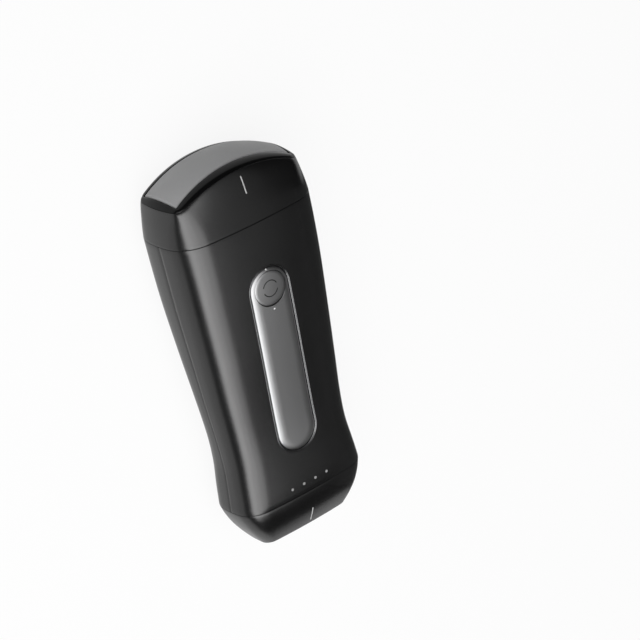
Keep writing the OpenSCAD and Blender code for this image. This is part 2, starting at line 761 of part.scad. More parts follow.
module button_guide() {
    color("#2f3133")
    difference() {
        union() {
            translate([-guide_w / 2, button_y - guide_l / 2, mid_z + guide_top - guide_t])
                cube([guide_w, guide_l, guide_t]);
            for (x = [-guide_w / 2, guide_w / 2 - guide_leg_t])
                translate([x, button_y - guide_l / 2, mid_z + board_top])
                    cube([guide_leg_t, guide_l, guide_top - board_top]);
        }
        translate([0, button_y, mid_z + board_top])
            cylinder(r = stem_r + fit, h = guide_top);
    }
}

module stem_seal() {
    color("#5a5a5a")
    translate([0, button_y, mid_z + guide_top])
        difference() {
            cylinder(r = stem_r + stem_seal_w, h = seal_t);
            translate([0, 0, -over])
                cylinder(r = stem_r + fit, h = seal_t + 2 * over);
        }
}

// The switch under the button. Its plunger moves with the button.
switch_w = 6;
plunger_r = 1.5;
plunger_deep = 1.2;

module switch_body() {
    z = mid_z + board_top;
    color("#d0d0cc")
    difference() {
        translate([-switch_w / 2, button_y - switch_w / 2, z])
            cube([switch_w, switch_w, switch_h]);
        translate([0, button_y, z + switch_h - plunger_deep - 2 * button_travel])
            cylinder(r = plunger_r + fit, h = switch_h);
    }
}

module switch_plunger() {
    color("#e0c020")
    translate([0, button_y, stem_bottom - plunger_h - plunger_deep])
        cylinder(r = plunger_r, h = plunger_h + plunger_deep);
}

// Clear light guides, and the lamps on the board under them.
led_w = 1.6;
led_d = 0.8;
led_h = 0.6;
guide_bar_z = 9.2;
guide_bar_t = 1.3;
guide_bar_w = 2.4;
guide_bar_over = 1.4;
guide_foot_r = 0.9;
lamp_gap = 0.1;

module status_light_guide() {
    half = status_xs[status_count - 1] + guide_bar_over;
    color("#dfe3e6")
    union() {
        translate([-half, status_y - guide_bar_w / 2, mid_z + guide_bar_z])
            cube([2 * half, guide_bar_w, guide_bar_t]);
        for (x = status_xs) {
            foot_z = board_top + led_h + lamp_gap;
            translate([x, status_y, mid_z + guide_bar_z])
                cylinder(r = status_r, h = front_z(x, status_y) - guide_bar_z);
            translate([x, status_y, mid_z + foot_z])
                cylinder(r = guide_foot_r, h = guide_bar_z + guide_bar_t / 2 - foot_z);
        }
    }
}

module lamp(x, y) {
    translate([x - led_w / 2, y - led_d / 2, mid_z + board_top])
        cube([led_w, led_d, led_h]);
}

module status_leds() {
    color("#f2f2ea")
    for (x = status_xs)
        lamp(x, status_y);
}

module indicator_lights() {
    foot_z = board_top + led_h + lamp_gap;
    drops = [indicator_far_drop, 0];
    color("#f4f6f8")
    for (i = [0, 1])
        translate([0, indicator_ys[i], mid_z + foot_z])
            cylinder(r = indicator_r,
                h = front_z(0, indicator_ys[i]) + panel_rise - drops[i] - foot_z);
}

indicator_far_drop = 0.7;

module indicator_leds() {
    color("#f2f2ea")
    for (y = indicator_ys)
        lamp(0, y);
}

// The chassis: a plate over the battery with four posts that carry the board.
chassis_near_off = 5;
chassis_far_off = 6;
chassis_near_y = linear_seam_y + chassis_near_off;
chassis_far_y = convex_seam_y - chassis_far_off;
chassis_narrow_in = 11.3;
chassis_wide_in = 6.3;
chassis_narrow_w = grip_w - 2 * chassis_narrow_in;
chassis_wide_w = grip_w - 2 * chassis_wide_in;
chassis_step_y = (linear_seam_y + convex_seam_y) / 2 - chassis_near_off;
post_r = 2.7;
window_in = 8.5;
window_w = chassis_narrow_w - 2 * window_in;
window_l = 11;
window_over = 1.5;
battery_far_y = convex_seam_y;
battery_near_y = battery_far_y - battery_l;

module stepped_plate(near_y, far_y, step_y, narrow, wide) {
    polygon([[-narrow / 2, near_y], [narrow / 2, near_y], [narrow / 2, step_y - (wide - narrow) / 2],
        [wide / 2, step_y], [wide / 2, far_y], [-wide / 2, far_y], [-wide / 2, step_y],
        [-narrow / 2, step_y - (wide - narrow) / 2]]);
}

module chassis() {
    post_h = board_top - board_t - chassis_bottom;
    color("#6f7478")
    difference() {
        union() {
            translate([0, 0, mid_z + chassis_bottom])
                linear_extrude(chassis_t)
                    stepped_plate(chassis_near_y, chassis_far_y, chassis_step_y, chassis_narrow_w,
                        chassis_wide_w);
            for (p = boss_places)
                translate([p.x, p.y, mid_z + chassis_bottom])
                    cylinder(r = post_r, h = post_h);
        }
        for (p = boss_places)
            translate([p.x, p.y, mid_z + chassis_bottom - over])
                cylinder(r = screw_r + fit / 2, h = post_h + 2 * over);
        // Windows that let the battery's ribbon through and save weight.
        for (y = [boss_near_y + boss_r, battery_near_y + window_over - window_l])
            translate([-window_w / 2, y, mid_z + chassis_bottom - over])
                cube([window_w, window_l, chassis_t + 2 * over]);
    }
}

board_near_over = 1.6;
board_far_in = 1;
board_near_y = status_y - board_near_over;
board_far_y = chassis_far_y - board_far_in;
board_narrow_in = 11.8;
board_narrow_w = grip_w - 2 * board_narrow_in;
board_wide_w = chassis_wide_w;

module main_board() {
    color("#1d4d33")
    difference() {
        translate([0, 0, mid_z + board_top - board_t])
            linear_extrude(board_t)
                stepped_plate(board_near_y, board_far_y, chassis_step_y, board_narrow_w, board_wide_w);
        for (p = boss_places)
            translate([p.x, p.y, mid_z])
                cylinder(r = screw_r + fit / 2, h = board_top + over);
    }
}

screw_head_r = 1.9;
screw_head_h = 1.2;

module board_screws() {
    length = board_top - chassis_bottom + screw_bite - over;
    color("#a9abad")
    for (p = boss_places)
        translate([p.x, p.y, mid_z + board_top]) {
            cylinder(r = screw_head_r, h = screw_head_h);
            translate([0, 0, -length])
                cylinder(r = screw_r, h = length);
        }
}

// A block on the board's top, centred in x and y.
module on_board(x, y, w, l, h) {
    translate([x - w / 2, y - l / 2, mid_z + board_top])
        cube([w, l, h]);
}

// The chips follow each other down the board from the button's bridge.
board_gap = 1.2;
chip_w = 11;
chip_h = 1.2;
chip_pitch = 13;
spreader_t = 1;
spreader_over = 1.5;
spreader_w = chip_pitch + chip_w + 2 * spreader_over;
processor_w = 15;
processor_h = 1.5;
module_l = 13;
module_h = 2.2;
module_in = 4.5;
module_w = board_wide_w / 2 - 2 * module_in;
module_x = module_in + module_w / 2;
module_y = button_y - guide_l / 2 - board_gap - module_l / 2;
processor_y = module_y - module_l / 2 - board_gap - processor_w / 2;
chips_y = processor_y - processor_w / 2 - board_gap - spreader_w / 2;
antenna_w = 3;
antenna_l = 12;
antenna_h = 1.2;
connector_in = 5;
connector_w = board_narrow_w - 2 * connector_in;
connector_l = 4;
connector_h = 1.8;

module beamformer_chips() {
    color("#1a1a1c")
    for (sx = [-0.5, 0.5], sy = [-0.5, 0.5])
        on_board(sx * chip_pitch, chips_y + sy * chip_pitch, chip_w, chip_w, chip_h);
}

module heat_spreader() {
    color("#b0b4b8")
    translate([-spreader_w / 2, chips_y - spreader_w / 2, mid_z + board_top + chip_h])
        cube([spreader_w, spreader_w, spreader_t]);
}

module processor_chip() {
    color("#202124")
    on_board(0, processor_y, processor_w, processor_w, processor_h);
}

module wireless_module() {
    color("#c4c6c8")
    on_board(module_x, module_y, module_w, module_l, module_h);
}

module antenna() {
    color("#e6e2d8")
    on_board(-board_wide_w / 2 + antenna_w, module_y, antenna_w, antenna_l, antenna_h);
}

convex_plug_y = board_far_y - connector_l / 2;
linear_plug_off = 6.5;
linear_plug_y = status_y + linear_plug_off;

// One connector on top of the board and one under it.
module board_connectors() {
    color("#e8e4d4") {
        on_board(0, convex_plug_y, connector_w, connector_l, connector_h);
        translate([0, 0, -board_t - connector_h])
            on_board(0, linear_plug_y, connector_w, connector_l, connector_h);
    }
}

// A flat ribbon that follows a path of [y, z] points; z is measured from the middle plane.
ribbon_t = 0.3;

module ribbon(path, w) {
    translate([-w / 2, 0, mid_z])
        rotate([90, 0, 90])
            linear_extrude(w)
                polygon(concat(path, [for (i = [len(path) - 1 : -1 : 0]) path[i] + ribbon_shift(path, i)]));
}

// Each point's partner lies one thickness away, square to the ribbon.
function ribbon_shift(path, i) =
    let (a = path[max(i - 1, 0)], b = path[min(i + 1, len(path) - 1)], d = (b - a) / norm(b - a))
    [-d.y, d.x] * ribbon_t;

convex_flex_in = 1;
linear_flex_in = 2;
convex_flex_w = connector_w - 2 * convex_flex_in;
linear_flex_w = connector_w - 2 * linear_flex_in;
flex_z = board_top + connector_h + slack;
flex_bend = 1.6;
flex_drop = 1.4;

module convex_flex() {
    top_y = arc_y + backing_in * cos(asin(convex_flex_w / 2 / backing_in)) - ribbon_t - slack;
    color("#b06a1c")
    ribbon([[convex_plug_y - connector_l / 2, flex_z], [convex_plug_y + connector_l, flex_z],
        [top_y - flex_bend, flex_z - flex_drop], [top_y, array_half_h / 2], [top_y, -array_half_h]],
        convex_flex_w);
}

module linear_flex() {
    back_y = linear_rim_y - linear_proud + linear_lens_t + matching_t + crystal_t + linear_backing_t
        + ribbon_t + slack;
    low_z = board_top - board_t - connector_h - slack - ribbon_t;
    color("#b06a1c")
    ribbon([[back_y, -linear_t / 2 + linear_side], [back_y, low_z - flex_bend],
        [back_y + flex_bend, low_z], [linear_plug_y + connector_l / 2, low_z]],
        linear_flex_w);
}

module battery() {
    color("#3c4a5a")
    translate([-battery_w / 2, battery_near_y, mid_z + battery_top - battery_t])
        cube([battery_w, battery_l, battery_t]);
}

pad_inset = 3;

module battery_pad() {
    color("#2a2a2a")
    translate([-battery_w / 2 + pad_inset, battery_far_y - battery_l / 2, mid_z + battery_top])
        cube([battery_w - 2 * pad_inset, battery_l / 2 - pad_inset, pad_t]);
}

battery_flex_w = 8;

module battery_flex() {
    end_y = battery_near_y - slack;
    color("#b06a1c")
    ribbon([[end_y, battery_top - battery_t / 2], [end_y, battery_top],
        [end_y, board_top - board_t - ribbon_t - slack]],
        battery_flex_w);
}

coil_ring_w = 7.5;
coil_bore_r = coil_r - coil_ring_w;

module charging_coil() {
    color("#b5652a")
    translate([0, coil_y, mid_z + coil_bottom])
        difference() {
            cylinder(r = coil_r, h = coil_t);
            translate([0, 0, -over])
                cylinder(r = coil_bore_r, h = coil_t + 2 * over);
        }
}

module ferrite_sheet() {
    color("#3b3b3d")
    translate([0, coil_y, mid_z + coil_bottom + coil_t])
        cylinder(r = coil_r, h = ferrite_t);
}

front_shell();
back_shell();
side_seals();
convex_cap();
convex_seal();
convex_bezel();
convex_lens();
convex_matching_layer();
convex_crystals();
convex_backing();
convex_flex();
convex_mark();
linear_cap();
linear_seal();
linear_bezel();
linear_lens();
linear_matching_layer();
linear_crystals();
linear_backing();
linear_flex();
linear_mark();
panel_rim();
control_panel();
button();
button_mark();
button_guide();
stem_seal();
switch_body();
switch_plunger();
status_light_guide();
status_leds();
indicator_lights();
indicator_leds();
chassis();
main_board();
beamformer_chips();
processor_chip();
wireless_module();
antenna();
board_connectors();
board_screws();
heat_spreader();
battery();
battery_pad();
battery_flex();
charging_coil();
ferrite_sheet();
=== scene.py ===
import math

import bmesh
import bpy
from mathutils import Matrix, Vector


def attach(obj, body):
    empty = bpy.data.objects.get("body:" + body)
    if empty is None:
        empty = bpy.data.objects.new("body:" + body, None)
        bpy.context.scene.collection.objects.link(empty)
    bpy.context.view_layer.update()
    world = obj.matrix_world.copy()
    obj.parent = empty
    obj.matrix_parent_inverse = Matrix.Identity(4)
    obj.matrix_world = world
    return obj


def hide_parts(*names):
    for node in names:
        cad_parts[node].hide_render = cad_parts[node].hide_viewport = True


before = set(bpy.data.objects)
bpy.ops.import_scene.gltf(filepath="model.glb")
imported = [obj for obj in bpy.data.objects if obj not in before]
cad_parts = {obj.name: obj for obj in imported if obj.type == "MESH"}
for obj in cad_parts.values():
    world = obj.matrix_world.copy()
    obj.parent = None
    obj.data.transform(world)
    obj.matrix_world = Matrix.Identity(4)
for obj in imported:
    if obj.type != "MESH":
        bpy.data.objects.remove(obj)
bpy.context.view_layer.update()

# Sizes in millimetres, the same as the part's own. The scanner lies on its back, +Y to the curved head.
MM = 0.001
GRIP_L, GRIP_W, FRONT_H, BACK_H, FLAT_CUT = 113.6, 63.6, 18.9, 18.4, 1.2
CORNER_R, CROWN_R, SIDE_R, WALL = 12.4, 205.0, 50.0, 2.2
SPLIT_Z, SPIGOT_L, SPIGOT_T, SPIGOT_ROOT = 1.6, 3.0, 1.2, 1.5
CONVEX_L, CONVEX_R, CONVEX_W, CONVEX_T, BULGE = 22.5, 50.0, 51.9, 20.7, 1.5
LINEAR_L, LINEAR_W, LINEAR_T, PROUD = 17.1, 34.4, 9.5, 0.55
POCKET_R, POCKET_L, POCKET_OFF, LEDGE_D, RIM_W, RISE = 9.4, 60.1, 26.8, 1.45, 0.75, 0.35
POCKET_GAP, SLOT_R, SLOT_TOP, SLOT_FOOT = 0.05, 7.9, -1, -4
BUTTON_R, BUTTON_GAP, BUTTON_OFF, BUTTON_CROWN_R, STEM_R, STEM_FOOT_Z = 6.85, 0.15, 0.3, 80, 1.8, 29.2
STATUS_COUNT, STATUS_PITCH, STATUS_R, STATUS_OFF, INDICATOR_R, COIL_OFF = 4, 5.47, 0.55, 4.07, 0.35, 23.5
# Clearance between pieces that fit together, and round the lights in their holes.
FIT, LIGHT_GAP = 0.1, 0.05
# How far the drawn skins stay inside the solids' outline.
SKIN = 0.03
# Width of the seams at the caps and along the sides, and radius of a softened edge.
LINE, SIDE_LINE, EDGE = 0.12, 0.06, 0.16
# The curved cap's end, where its bezel starts, as a share of the head's length.
CAP_SHARE = 0.91
# The least radius of an outline's corner, and the radius of a side that is nearly straight.
LEAST_CORNER_R, STRAIGHT_R = 0.4, 20000.0
# The radius of a ring that closes a surface, and the heights between which the cutting tools stand.
PINCH, TOOL_LOW, TOOL_HIGH = 0.001, 25, 45
# The inner ring of a tool that follows the face, and how far a tool stands over what it cuts.
TOOL_RING, TOOL_OVER = 3, 3
# How many rings a piece's skin has along its length, and points round a quarter of its outline.
GRIP_RINGS, CAP_RINGS = 58, 14
STEPS = (4, 14, 14)

MID_Z = BACK_H - FLAT_CUT
LENGTH = PROUD + LINEAR_L + GRIP_L + CONVEX_L + BULGE
RIM_Y = -LENGTH / 2 + PROUD
LINEAR_SEAM = RIM_Y + LINEAR_L
CONVEX_SEAM = LINEAR_SEAM + GRIP_L
ARC_Y = CONVEX_SEAM + CONVEX_L - CONVEX_R
FAR_Y = CONVEX_SEAM - POCKET_OFF
NEAR_Y = FAR_Y - POCKET_L
BUTTON_Y = FAR_Y + BUTTON_OFF
PANEL_R = POCKET_R - POCKET_GAP - RIM_W - FIT
COIL_Y = CONVEX_SEAM - COIL_OFF

# Each table gives places along a piece, from 0 to 1, and the share of the full size that it has there.
GRIP_WIDTH = [[0, 0.909], [0.07, 0.884], [0.16, 0.859], [0.26, 0.869], [0.4, 0.903],
              [0.58, 0.939], [0.77, 0.977], [0.9, 0.992], [1, 1]]
GRIP_FRONT = [[0, 0.802], [0.05, 0.811], [0.16, 0.784], [0.26, 0.79], [0.4, 0.838],
              [0.58, 0.912], [0.77, 0.973], [0.9, 1], [1, 0.994]]
GRIP_BACK = [[0, 0.769], [0.07, 0.778], [0.16, 0.744], [0.26, 0.708], [0.4, 0.746],
             [0.58, 0.869], [0.77, 0.963], [0.9, 0.994], [1, 1]]
GRIP_CORNER = [[0, 0.8], [0.26, 0.87], [0.58, 0.94], [1, 1]]
FLAT_WIDTH = [[0, 0.909], [0.22, 0.87], [0.5, 0.803], [0.77, 0.717], [1, 0.629]]
FLAT_FRONT = [[0, 0.802], [0.22, 0.778], [0.5, 0.694], [0.77, 0.565], [1, 0.434]]
FLAT_BACK = [[0, 0.769], [0.22, 0.752], [0.5, 0.692], [0.77, 0.585], [1, 0.456]]
FLAT_CORNER = [[0, 0.8], [0.22, 0.73], [0.5, 0.6], [0.77, 0.46], [1, 0.36]]
CURVED_WIDTH = [[0, 1], [0.25, 0.984], [0.5, 0.963], [0.8, 0.928], [1, 0.902]]
CURVED_FRONT = [[0, 0.994], [0.25, 0.968], [0.51, 0.911], [0.81, 0.833], [1, 0.735]]
CURVED_BACK = [[0, 1], [0.25, 0.975], [0.51, 0.918], [0.81, 0.843], [1, 0.745]]
CURVED_CORNER = [[0, 1], [0.25, 0.93], [0.51, 0.78], [0.81, 0.53], [1, 0.34]]
PANEL_ROLL = [[0, 0], [0.05, 0.3], [0.16, 0.55], [0.36, 0.78], [0.64, 0.93], [1, 1]]


def share_at(table, s):
    """A smooth curve through a table's points."""
    i = 0
    while i < len(table) - 2 and s >= table[i + 1][0]:
        i += 1

    def slope(k):
        a, b = max(k - 1, 0), min(k + 1, len(table) - 1)
        return (table[b][1] - table[a][1]) / (table[b][0] - table[a][0])

    h = table[i + 1][0] - table[i][0]
    u = (s - table[i][0]) / h
    return ((2 * u ** 3 - 3 * u ** 2 + 1) * table[i][1] + (u ** 3 - 2 * u ** 2 + u) * h * slope(i)
            + (3 * u ** 2 - 2 * u ** 3) * table[i + 1][1] + (u ** 3 - u ** 2) * h * slope(i + 1))


def corner_centre(w, h, r, crown, side):
    """Centre of the arc of radius r that joins the side's arc to the crown's."""
    a, b, dx, dz = crown - r, side - r, w - side, crown - h
    d = math.hypot(dx, dz)
    along = (a * a - b * b + d * d) / (2 * d)
    off = math.sqrt(max(0.0, a * a - along * along))
    ux, uz = dx / d, dz / d
    one = (along * ux - off * uz, h - crown + along * uz + off * ux)
    two = (along * ux + off * uz, h - crown + along * uz - off * ux)
    return one if sum(one) > sum(two) else two


def quarter(w, h, r, crown, side, z0, steps):
    """From the side at height z0 to the middle of the crown."""
    cx, cz = corner_centre(w, h, r, crown, side)
    a0 = math.asin(z0 / side)
    a1 = math.atan2(cz, cx - w + side)
    a2 = math.atan2(cz - h + crown, cx)
    out = [(w - side + side * math.cos(a), side * math.sin(a))
           for a in (a0 + (a1 - a0) * i / steps[0] for i in range(steps[0]))]
    out += [(cx + r * math.cos(a), cz + r * math.sin(a))
            for a in (a1 + (a2 - a1) * i / steps[1] for i in range(steps[1]))]
    out += [(crown * math.cos(a), h - crown + crown * math.sin(a))
            for a in (a2 + (math.pi / 2 - a2) * i / steps[2] for i in range(steps[2] + 1))]
    return out


def half_outline(w, h, r, inset, z0=0.0, steps=STEPS):
    r = max(r - inset, LEAST_CORNER_R)
    q = quarter(w - inset, h - inset, r, CROWN_R - inset, SIDE_R - inset, z0, steps)
    return q + [(-x, z) for x, z in reversed(q[:-1])]


def whole_outline(w, front, back, r, inset):
    f = half_outline(w, front, r, inset)
    b = half_outline(w, back, r, inset)
    return f + [(x, -z) for x, z in reversed(b[1:-1])]


def mm(x, y, z):
    """A point in metres; the flat on the back keeps everything over Z = 0."""
    return Vector((x, y, max(z, 0.0))) * MM


def grip_section(y, inset, back, z0, soft):
    """Half of the grip's wall at y: outside with softened seam edges, then back along the inside."""
    s = (y - LINEAR_SEAM) / GRIP_L
    w = GRIP_W / 2 * share_at(GRIP_WIDTH, s)
    h = BACK_H * share_at(GRIP_BACK, s) if back else FRONT_H * share_at(GRIP_FRONT, s)
    r = CORNER_R * share_at(GRIP_CORNER, s)
    out = half_outline(w, h, r, inset, z0 + soft)
    x0 = out[0][0]
    out = [(x0 - soft, z0), (x0 - 0.3 * soft, z0 + 0.3 * soft)] + out
    out += [(-x0 + 0.3 * soft, z0 + 0.3 * soft), (-x0 + soft, z0)]
    inner = half_outline(w, h, r, WALL, z0, (STEPS[0] + 2, STEPS[1], STEPS[2]))
    up = -1 if back else 1
    return [mm(x, y, MID_Z + up * z) for x, z in out + inner[::-1]]


def seam_ring(y, inset):
    s = (y - LINEAR_SEAM) / GRIP_L
    return [mm(x, y, MID_Z + z) for x, z in whole_outline(
        GRIP_W / 2 * share_at(GRIP_WIDTH, s), FRONT_H * share_at(GRIP_FRONT, s),
        BACK_H * share_at(GRIP_BACK, s), CORNER_R * share_at(GRIP_CORNER, s), inset)]


def flat_ring(t, inset, off=0.0):
    return [mm(x, LINEAR_SEAM - LINEAR_L * t - off, MID_Z + z) for x, z in whole_outline(
        GRIP_W / 2 * share_at(FLAT_WIDTH, t), FRONT_H * share_at(FLAT_FRONT, t),
        BACK_H * share_at(FLAT_BACK, t), CORNER_R * share_at(FLAT_CORNER, t), inset)]


def curved_ring(t, inset, off=0.0):
    def arc(x):
        x = min(abs(x), CONVEX_W / 2)
        return CONVEX_SEAM + (ARC_Y + math.sqrt(CONVEX_R ** 2 - x * x) - CONVEX_SEAM) * t - off
    return [mm(x, arc(x), MID_Z + z) for x, z in whole_outline(
        GRIP_W / 2 * share_at(CURVED_WIDTH, t), FRONT_H * share_at(CURVED_FRONT, t),
        BACK_H * share_at(CURVED_BACK, t), CORNER_R * share_at(CURVED_CORNER, t), inset)]


def lens_outline(width, thick, grow):
    """The lens's outline, nearly square at its corners, with as many points as a head's ring."""
    q = quarter(width / 2 + grow, thick / 2 + grow, LEAST_CORNER_R, STRAIGHT_R, STRAIGHT_R, 0.0, STEPS)
    h = q + [(-x, z) for x, z in reversed(q[:-1])]
    return h + [(x, -z) for x, z in reversed(h[1:-1])]


def on_curved_lens(x, z, lift):
    a = math.asin(x / CONVEX_R)
    r = CONVEX_R + BULGE * (1 - min(1.0, abs(z) / (CONVEX_T / 2)) ** 2) + lift
    return mm(r * math.sin(a), ARC_Y + r * math.cos(a), MID_Z + z)


def front_z(x, y):
    return FRONT_H * share_at(GRIP_FRONT, (y - LINEAR_SEAM) / GRIP_L) - x * x / (2 * CROWN_R)


def stadium_ring(r, rise, ends=28, run=44):
    """A round-ended loop at the panel, following the front face at a height over it."""
    pts = [(r * math.cos(a), FAR_Y + r * math.sin(a))
           for a in (math.pi * i / ends for i in range(ends + 1))]
    pts += [(-r, FAR_Y - POCKET_L * i / run) for i in range(1, run)]
    pts += [(r * math.cos(a), NEAR_Y + r * math.sin(a))
            for a in (math.pi + math.pi * i / ends for i in range(ends + 1))]
    pts += [(r, NEAR_Y + POCKET_L * i / run) for i in range(1, run)]
    return [mm(x, y, MID_Z + front_z(x, y) + rise) for x, y in pts]


# Making meshes.

# Edges bent over SHARP degrees stay sharp, on the panel and its rim over PANEL_SHARP. Points nearer than
# MERGE metres are made one, and PINCH_MERGE closes the small rings.
SHARP, PANEL_SHARP = 38, 50
MERGE, PINCH_MERGE, DEGENERATE = 2e-6, 4e-6, 1e-7


def finish_mesh(name, bm, sharp=SHARP, merge=MERGE):
    bmesh.ops.remove_doubles(bm, verts=bm.verts[:], dist=merge)
    bmesh.ops.dissolve_degenerate(bm, edges=bm.edges[:], dist=DEGENERATE)
    bmesh.ops.recalc_face_normals(bm, faces=bm.faces[:])
    mesh = bpy.data.meshes.new(name)
    bm.to_mesh(mesh)
    bm.free()
    piece = bpy.data.objects.new(name, mesh)
    bpy.context.scene.collection.objects.link(piece)
    smooth(piece, sharp)
    return piece


def smooth(piece, sharp):
    piece.data.polygons.foreach_set("use_smooth", [True] * len(piece.data.polygons))
    piece.data.set_sharp_from_angle(angle=math.radians(sharp))


def skin_through(name, rings, joined=False, ends=None, sharp=SHARP, merge=MERGE):
    """Extrudes the first ring through the others. The last one joins the first, or the ends are closed
    by strips from side to side of each ring, or the first and last ring shrink to a line or a point."""
    bm = bmesh.new()
    n = len(rings[0])
    first = [bm.verts.new(p) for p in rings[0]]
    edges = [bm.edges.new((first[i], first[(i + 1) % n])) for i in range(n)]
    last = first
    for ring in rings[1:]:
        made = bmesh.ops.extrude_edge_only(bm, edges=edges)["geom"]
        new = {g for g in made if isinstance(g, bmesh.types.BMVert)}
        last = [next(e.other_vert(v) for e in v.link_edges if e.other_vert(v) in new) for v in last]
        for v, p in zip(last, ring):
            v.co = p
        edges = [g for g in made if isinstance(g, bmesh.types.BMEdge)
                 and g.verts[0] in new and g.verts[1] in new]
    if joined:
        for i in range(n):
            bm.faces.new((last[i], last[(i + 1) % n], first[(i + 1) % n], first[i]))
    if ends == "strips":
        for loop in (first, last):
            for j in range(n // 2 - 1):
                bm.faces.new((loop[j], loop[j + 1], loop[n - 2 - j], loop[n - 1 - j]))
    return finish_mesh(name, bm, sharp, merge)


def turned(name, profile, centre, steps=96, slope=0.0, from_z=0.0):
    """Spins a profile of (radius, height) round an upright axis; what is over from_z leans by slope."""
    bm = bmesh.new()
    verts = [bm.verts.new(mm(r, 0, z)) for r, z in profile]
    edges = [bm.edges.new((verts[i], verts[i + 1])) for i in range(len(verts) - 1)]
    bmesh.ops.spin(bm, geom=verts + edges, cent=(0, 0, 0), axis=(0, 0, 1), angle=2 * math.pi,
                   steps=steps, use_merge=True)
    for v in bm.verts:
        if v.co.z > from_z * MM:
            v.co.z += v.co.y * slope
    bmesh.ops.translate(bm, verts=bm.verts[:], vec=mm(centre[0], centre[1], 0))
    return finish_mesh(name, bm)


def cut(piece, *cutters):
    for cutter in cutters:
        mod = piece.modifiers.new("cut", "BOOLEAN")
        mod.operation = "DIFFERENCE"
        mod.solver = "EXACT"
        mod.object = cutter
        bpy.context.view_layer.update()
        made = bpy.data.meshes.new_from_object(piece.evaluated_get(bpy.context.evaluated_depsgraph_get()))
        piece.modifiers.remove(mod)
        piece.data = made
        bpy.data.objects.remove(cutter)
    smooth(piece, SHARP)


def light_tool(x, y, radius):
    """Cuts the hole of a small light."""
    r = radius + LIGHT_GAP
    profile = [(0, TOOL_LOW), (r, TOOL_LOW), (r, TOOL_HIGH), (0, TOOL_HIGH)]
    return turned("light_tool", profile, (x, y), steps=24)


def soft_steps(e):
    """Offsets of a softened edge: along the piece and in from its surface."""
    return [(e * (1 - math.cos(a)), e * (1 - math.sin(a)))
            for a in (0, math.pi / 6, math.pi / 3, math.pi / 2)]


def dressed(piece, body, slot, *nodes):
    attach(piece, body)
    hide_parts(*nodes)


# Shells of the grip.

def grip_half(back):
    z0 = (-SPLIT_Z if back else SPLIT_Z) + SIDE_LINE / 2
    lo, hi = LINEAR_SEAM + LINE / 2, CONVEX_SEAM - LINE / 2
    places = [(lo + a, b) for a, b in soft_steps(EDGE)]
    places += [(lo + EDGE + (hi - lo - 2 * EDGE) * i / GRIP_RINGS, 0.0) for i in range(1, GRIP_RINGS)]
    places += [(hi - a, b) for a, b in reversed(soft_steps(EDGE))]
    rings = [grip_section(y, SKIN + b, back, z0, EDGE) for y, b in places]
    return skin_through("back_case" if back else "front_case", rings, ends="strips")


front_case = grip_half(False)
cutters = [
    skin_through(name, [stadium_ring(*ring) for ring in (
        (PINCH, top), (TOOL_RING, top), (r, top), (r, foot), (TOOL_RING, foot), (PINCH, foot))],
        merge=PINCH_MERGE)
    for name, r, top, foot in (("pocket_tool", POCKET_R, TOOL_OVER, -LEDGE_D),
                               ("slot_tool", SLOT_R, SLOT_TOP, SLOT_FOOT))]
status_y = LINEAR_SEAM + STATUS_OFF
for i in range(STATUS_COUNT):
    cutters.append(light_tool((i - (STATUS_COUNT - 1) / 2) * STATUS_PITCH, status_y, STATUS_R))
cut(front_case, *cutters)
dressed(front_case, "scanner", "black_plastic", "front_shell")
dressed(grip_half(True), "scanner", "black_plastic", "back_shell")


# Caps, bezels and lenses of the two heads.

# How thin the flat head's wall gets at its nose, as a share of the wall elsewhere.
NOSE_WALL = 0.6
# How far a bezel is rounded out and drawn in at the cap, how low its lip lies, how deep it goes under the
# lens, and how wide its foot is.
CURVED_ROUND, CURVED_TUCK, CURVED_LIP, CURVED_DEEP, CURVED_FOOT = 0.35, 0.2, 0.1, 6, 1.2
FLAT_ROUND, FLAT_TUCK, FLAT_LIP, FLAT_DEEP, FLAT_FOOT = 0.12, 0.15, 0.3, 4, 0.9
# The little step down inside the flat bezel's lip.
LIP_STEP = 0.08
# The curved lens: the radius of its inside, and its border's width and how far that is rounded down.
LENS_INSIDE_R, LENS_BORDER, LENS_DROP = 48, 0.9, 0.45
# The flat lens: its thickness and the radius of its front edges.
FLAT_LENS_T, FLAT_LENS_EDGE = 2.2, 0.35


def curved_cap():
    e = EDGE / CONVEX_L
    rings = [curved_ring(0, SKIN + b, -LINE / 2 - a) for a, b in soft_steps(EDGE)]
    rings += [curved_ring(e + (CAP_SHARE - 2 * e) * i / CAP_RINGS, SKIN) for i in range(1, CAP_RINGS)]
    rings += [curved_ring(CAP_SHARE - a / CONVEX_L, SKIN + b) for a, b in reversed(soft_steps(EDGE))]
    rings += [curved_ring(CAP_SHARE * k / 4, WALL) for k in (4, 3, 2, 1)]
    rings += [curved_ring(SPIGOT_ROOT / CONVEX_L, WALL + FIT + SPIGOT_T),
              seam_ring(CONVEX_SEAM - SPIGOT_L, WALL + FIT + SPIGOT_T),
              seam_ring(CONVEX_SEAM - SPIGOT_L, WALL + FIT), curved_ring(0, WALL + FIT, -LINE / 2)]
    return skin_through("curved_head_cap", rings, joined=True)


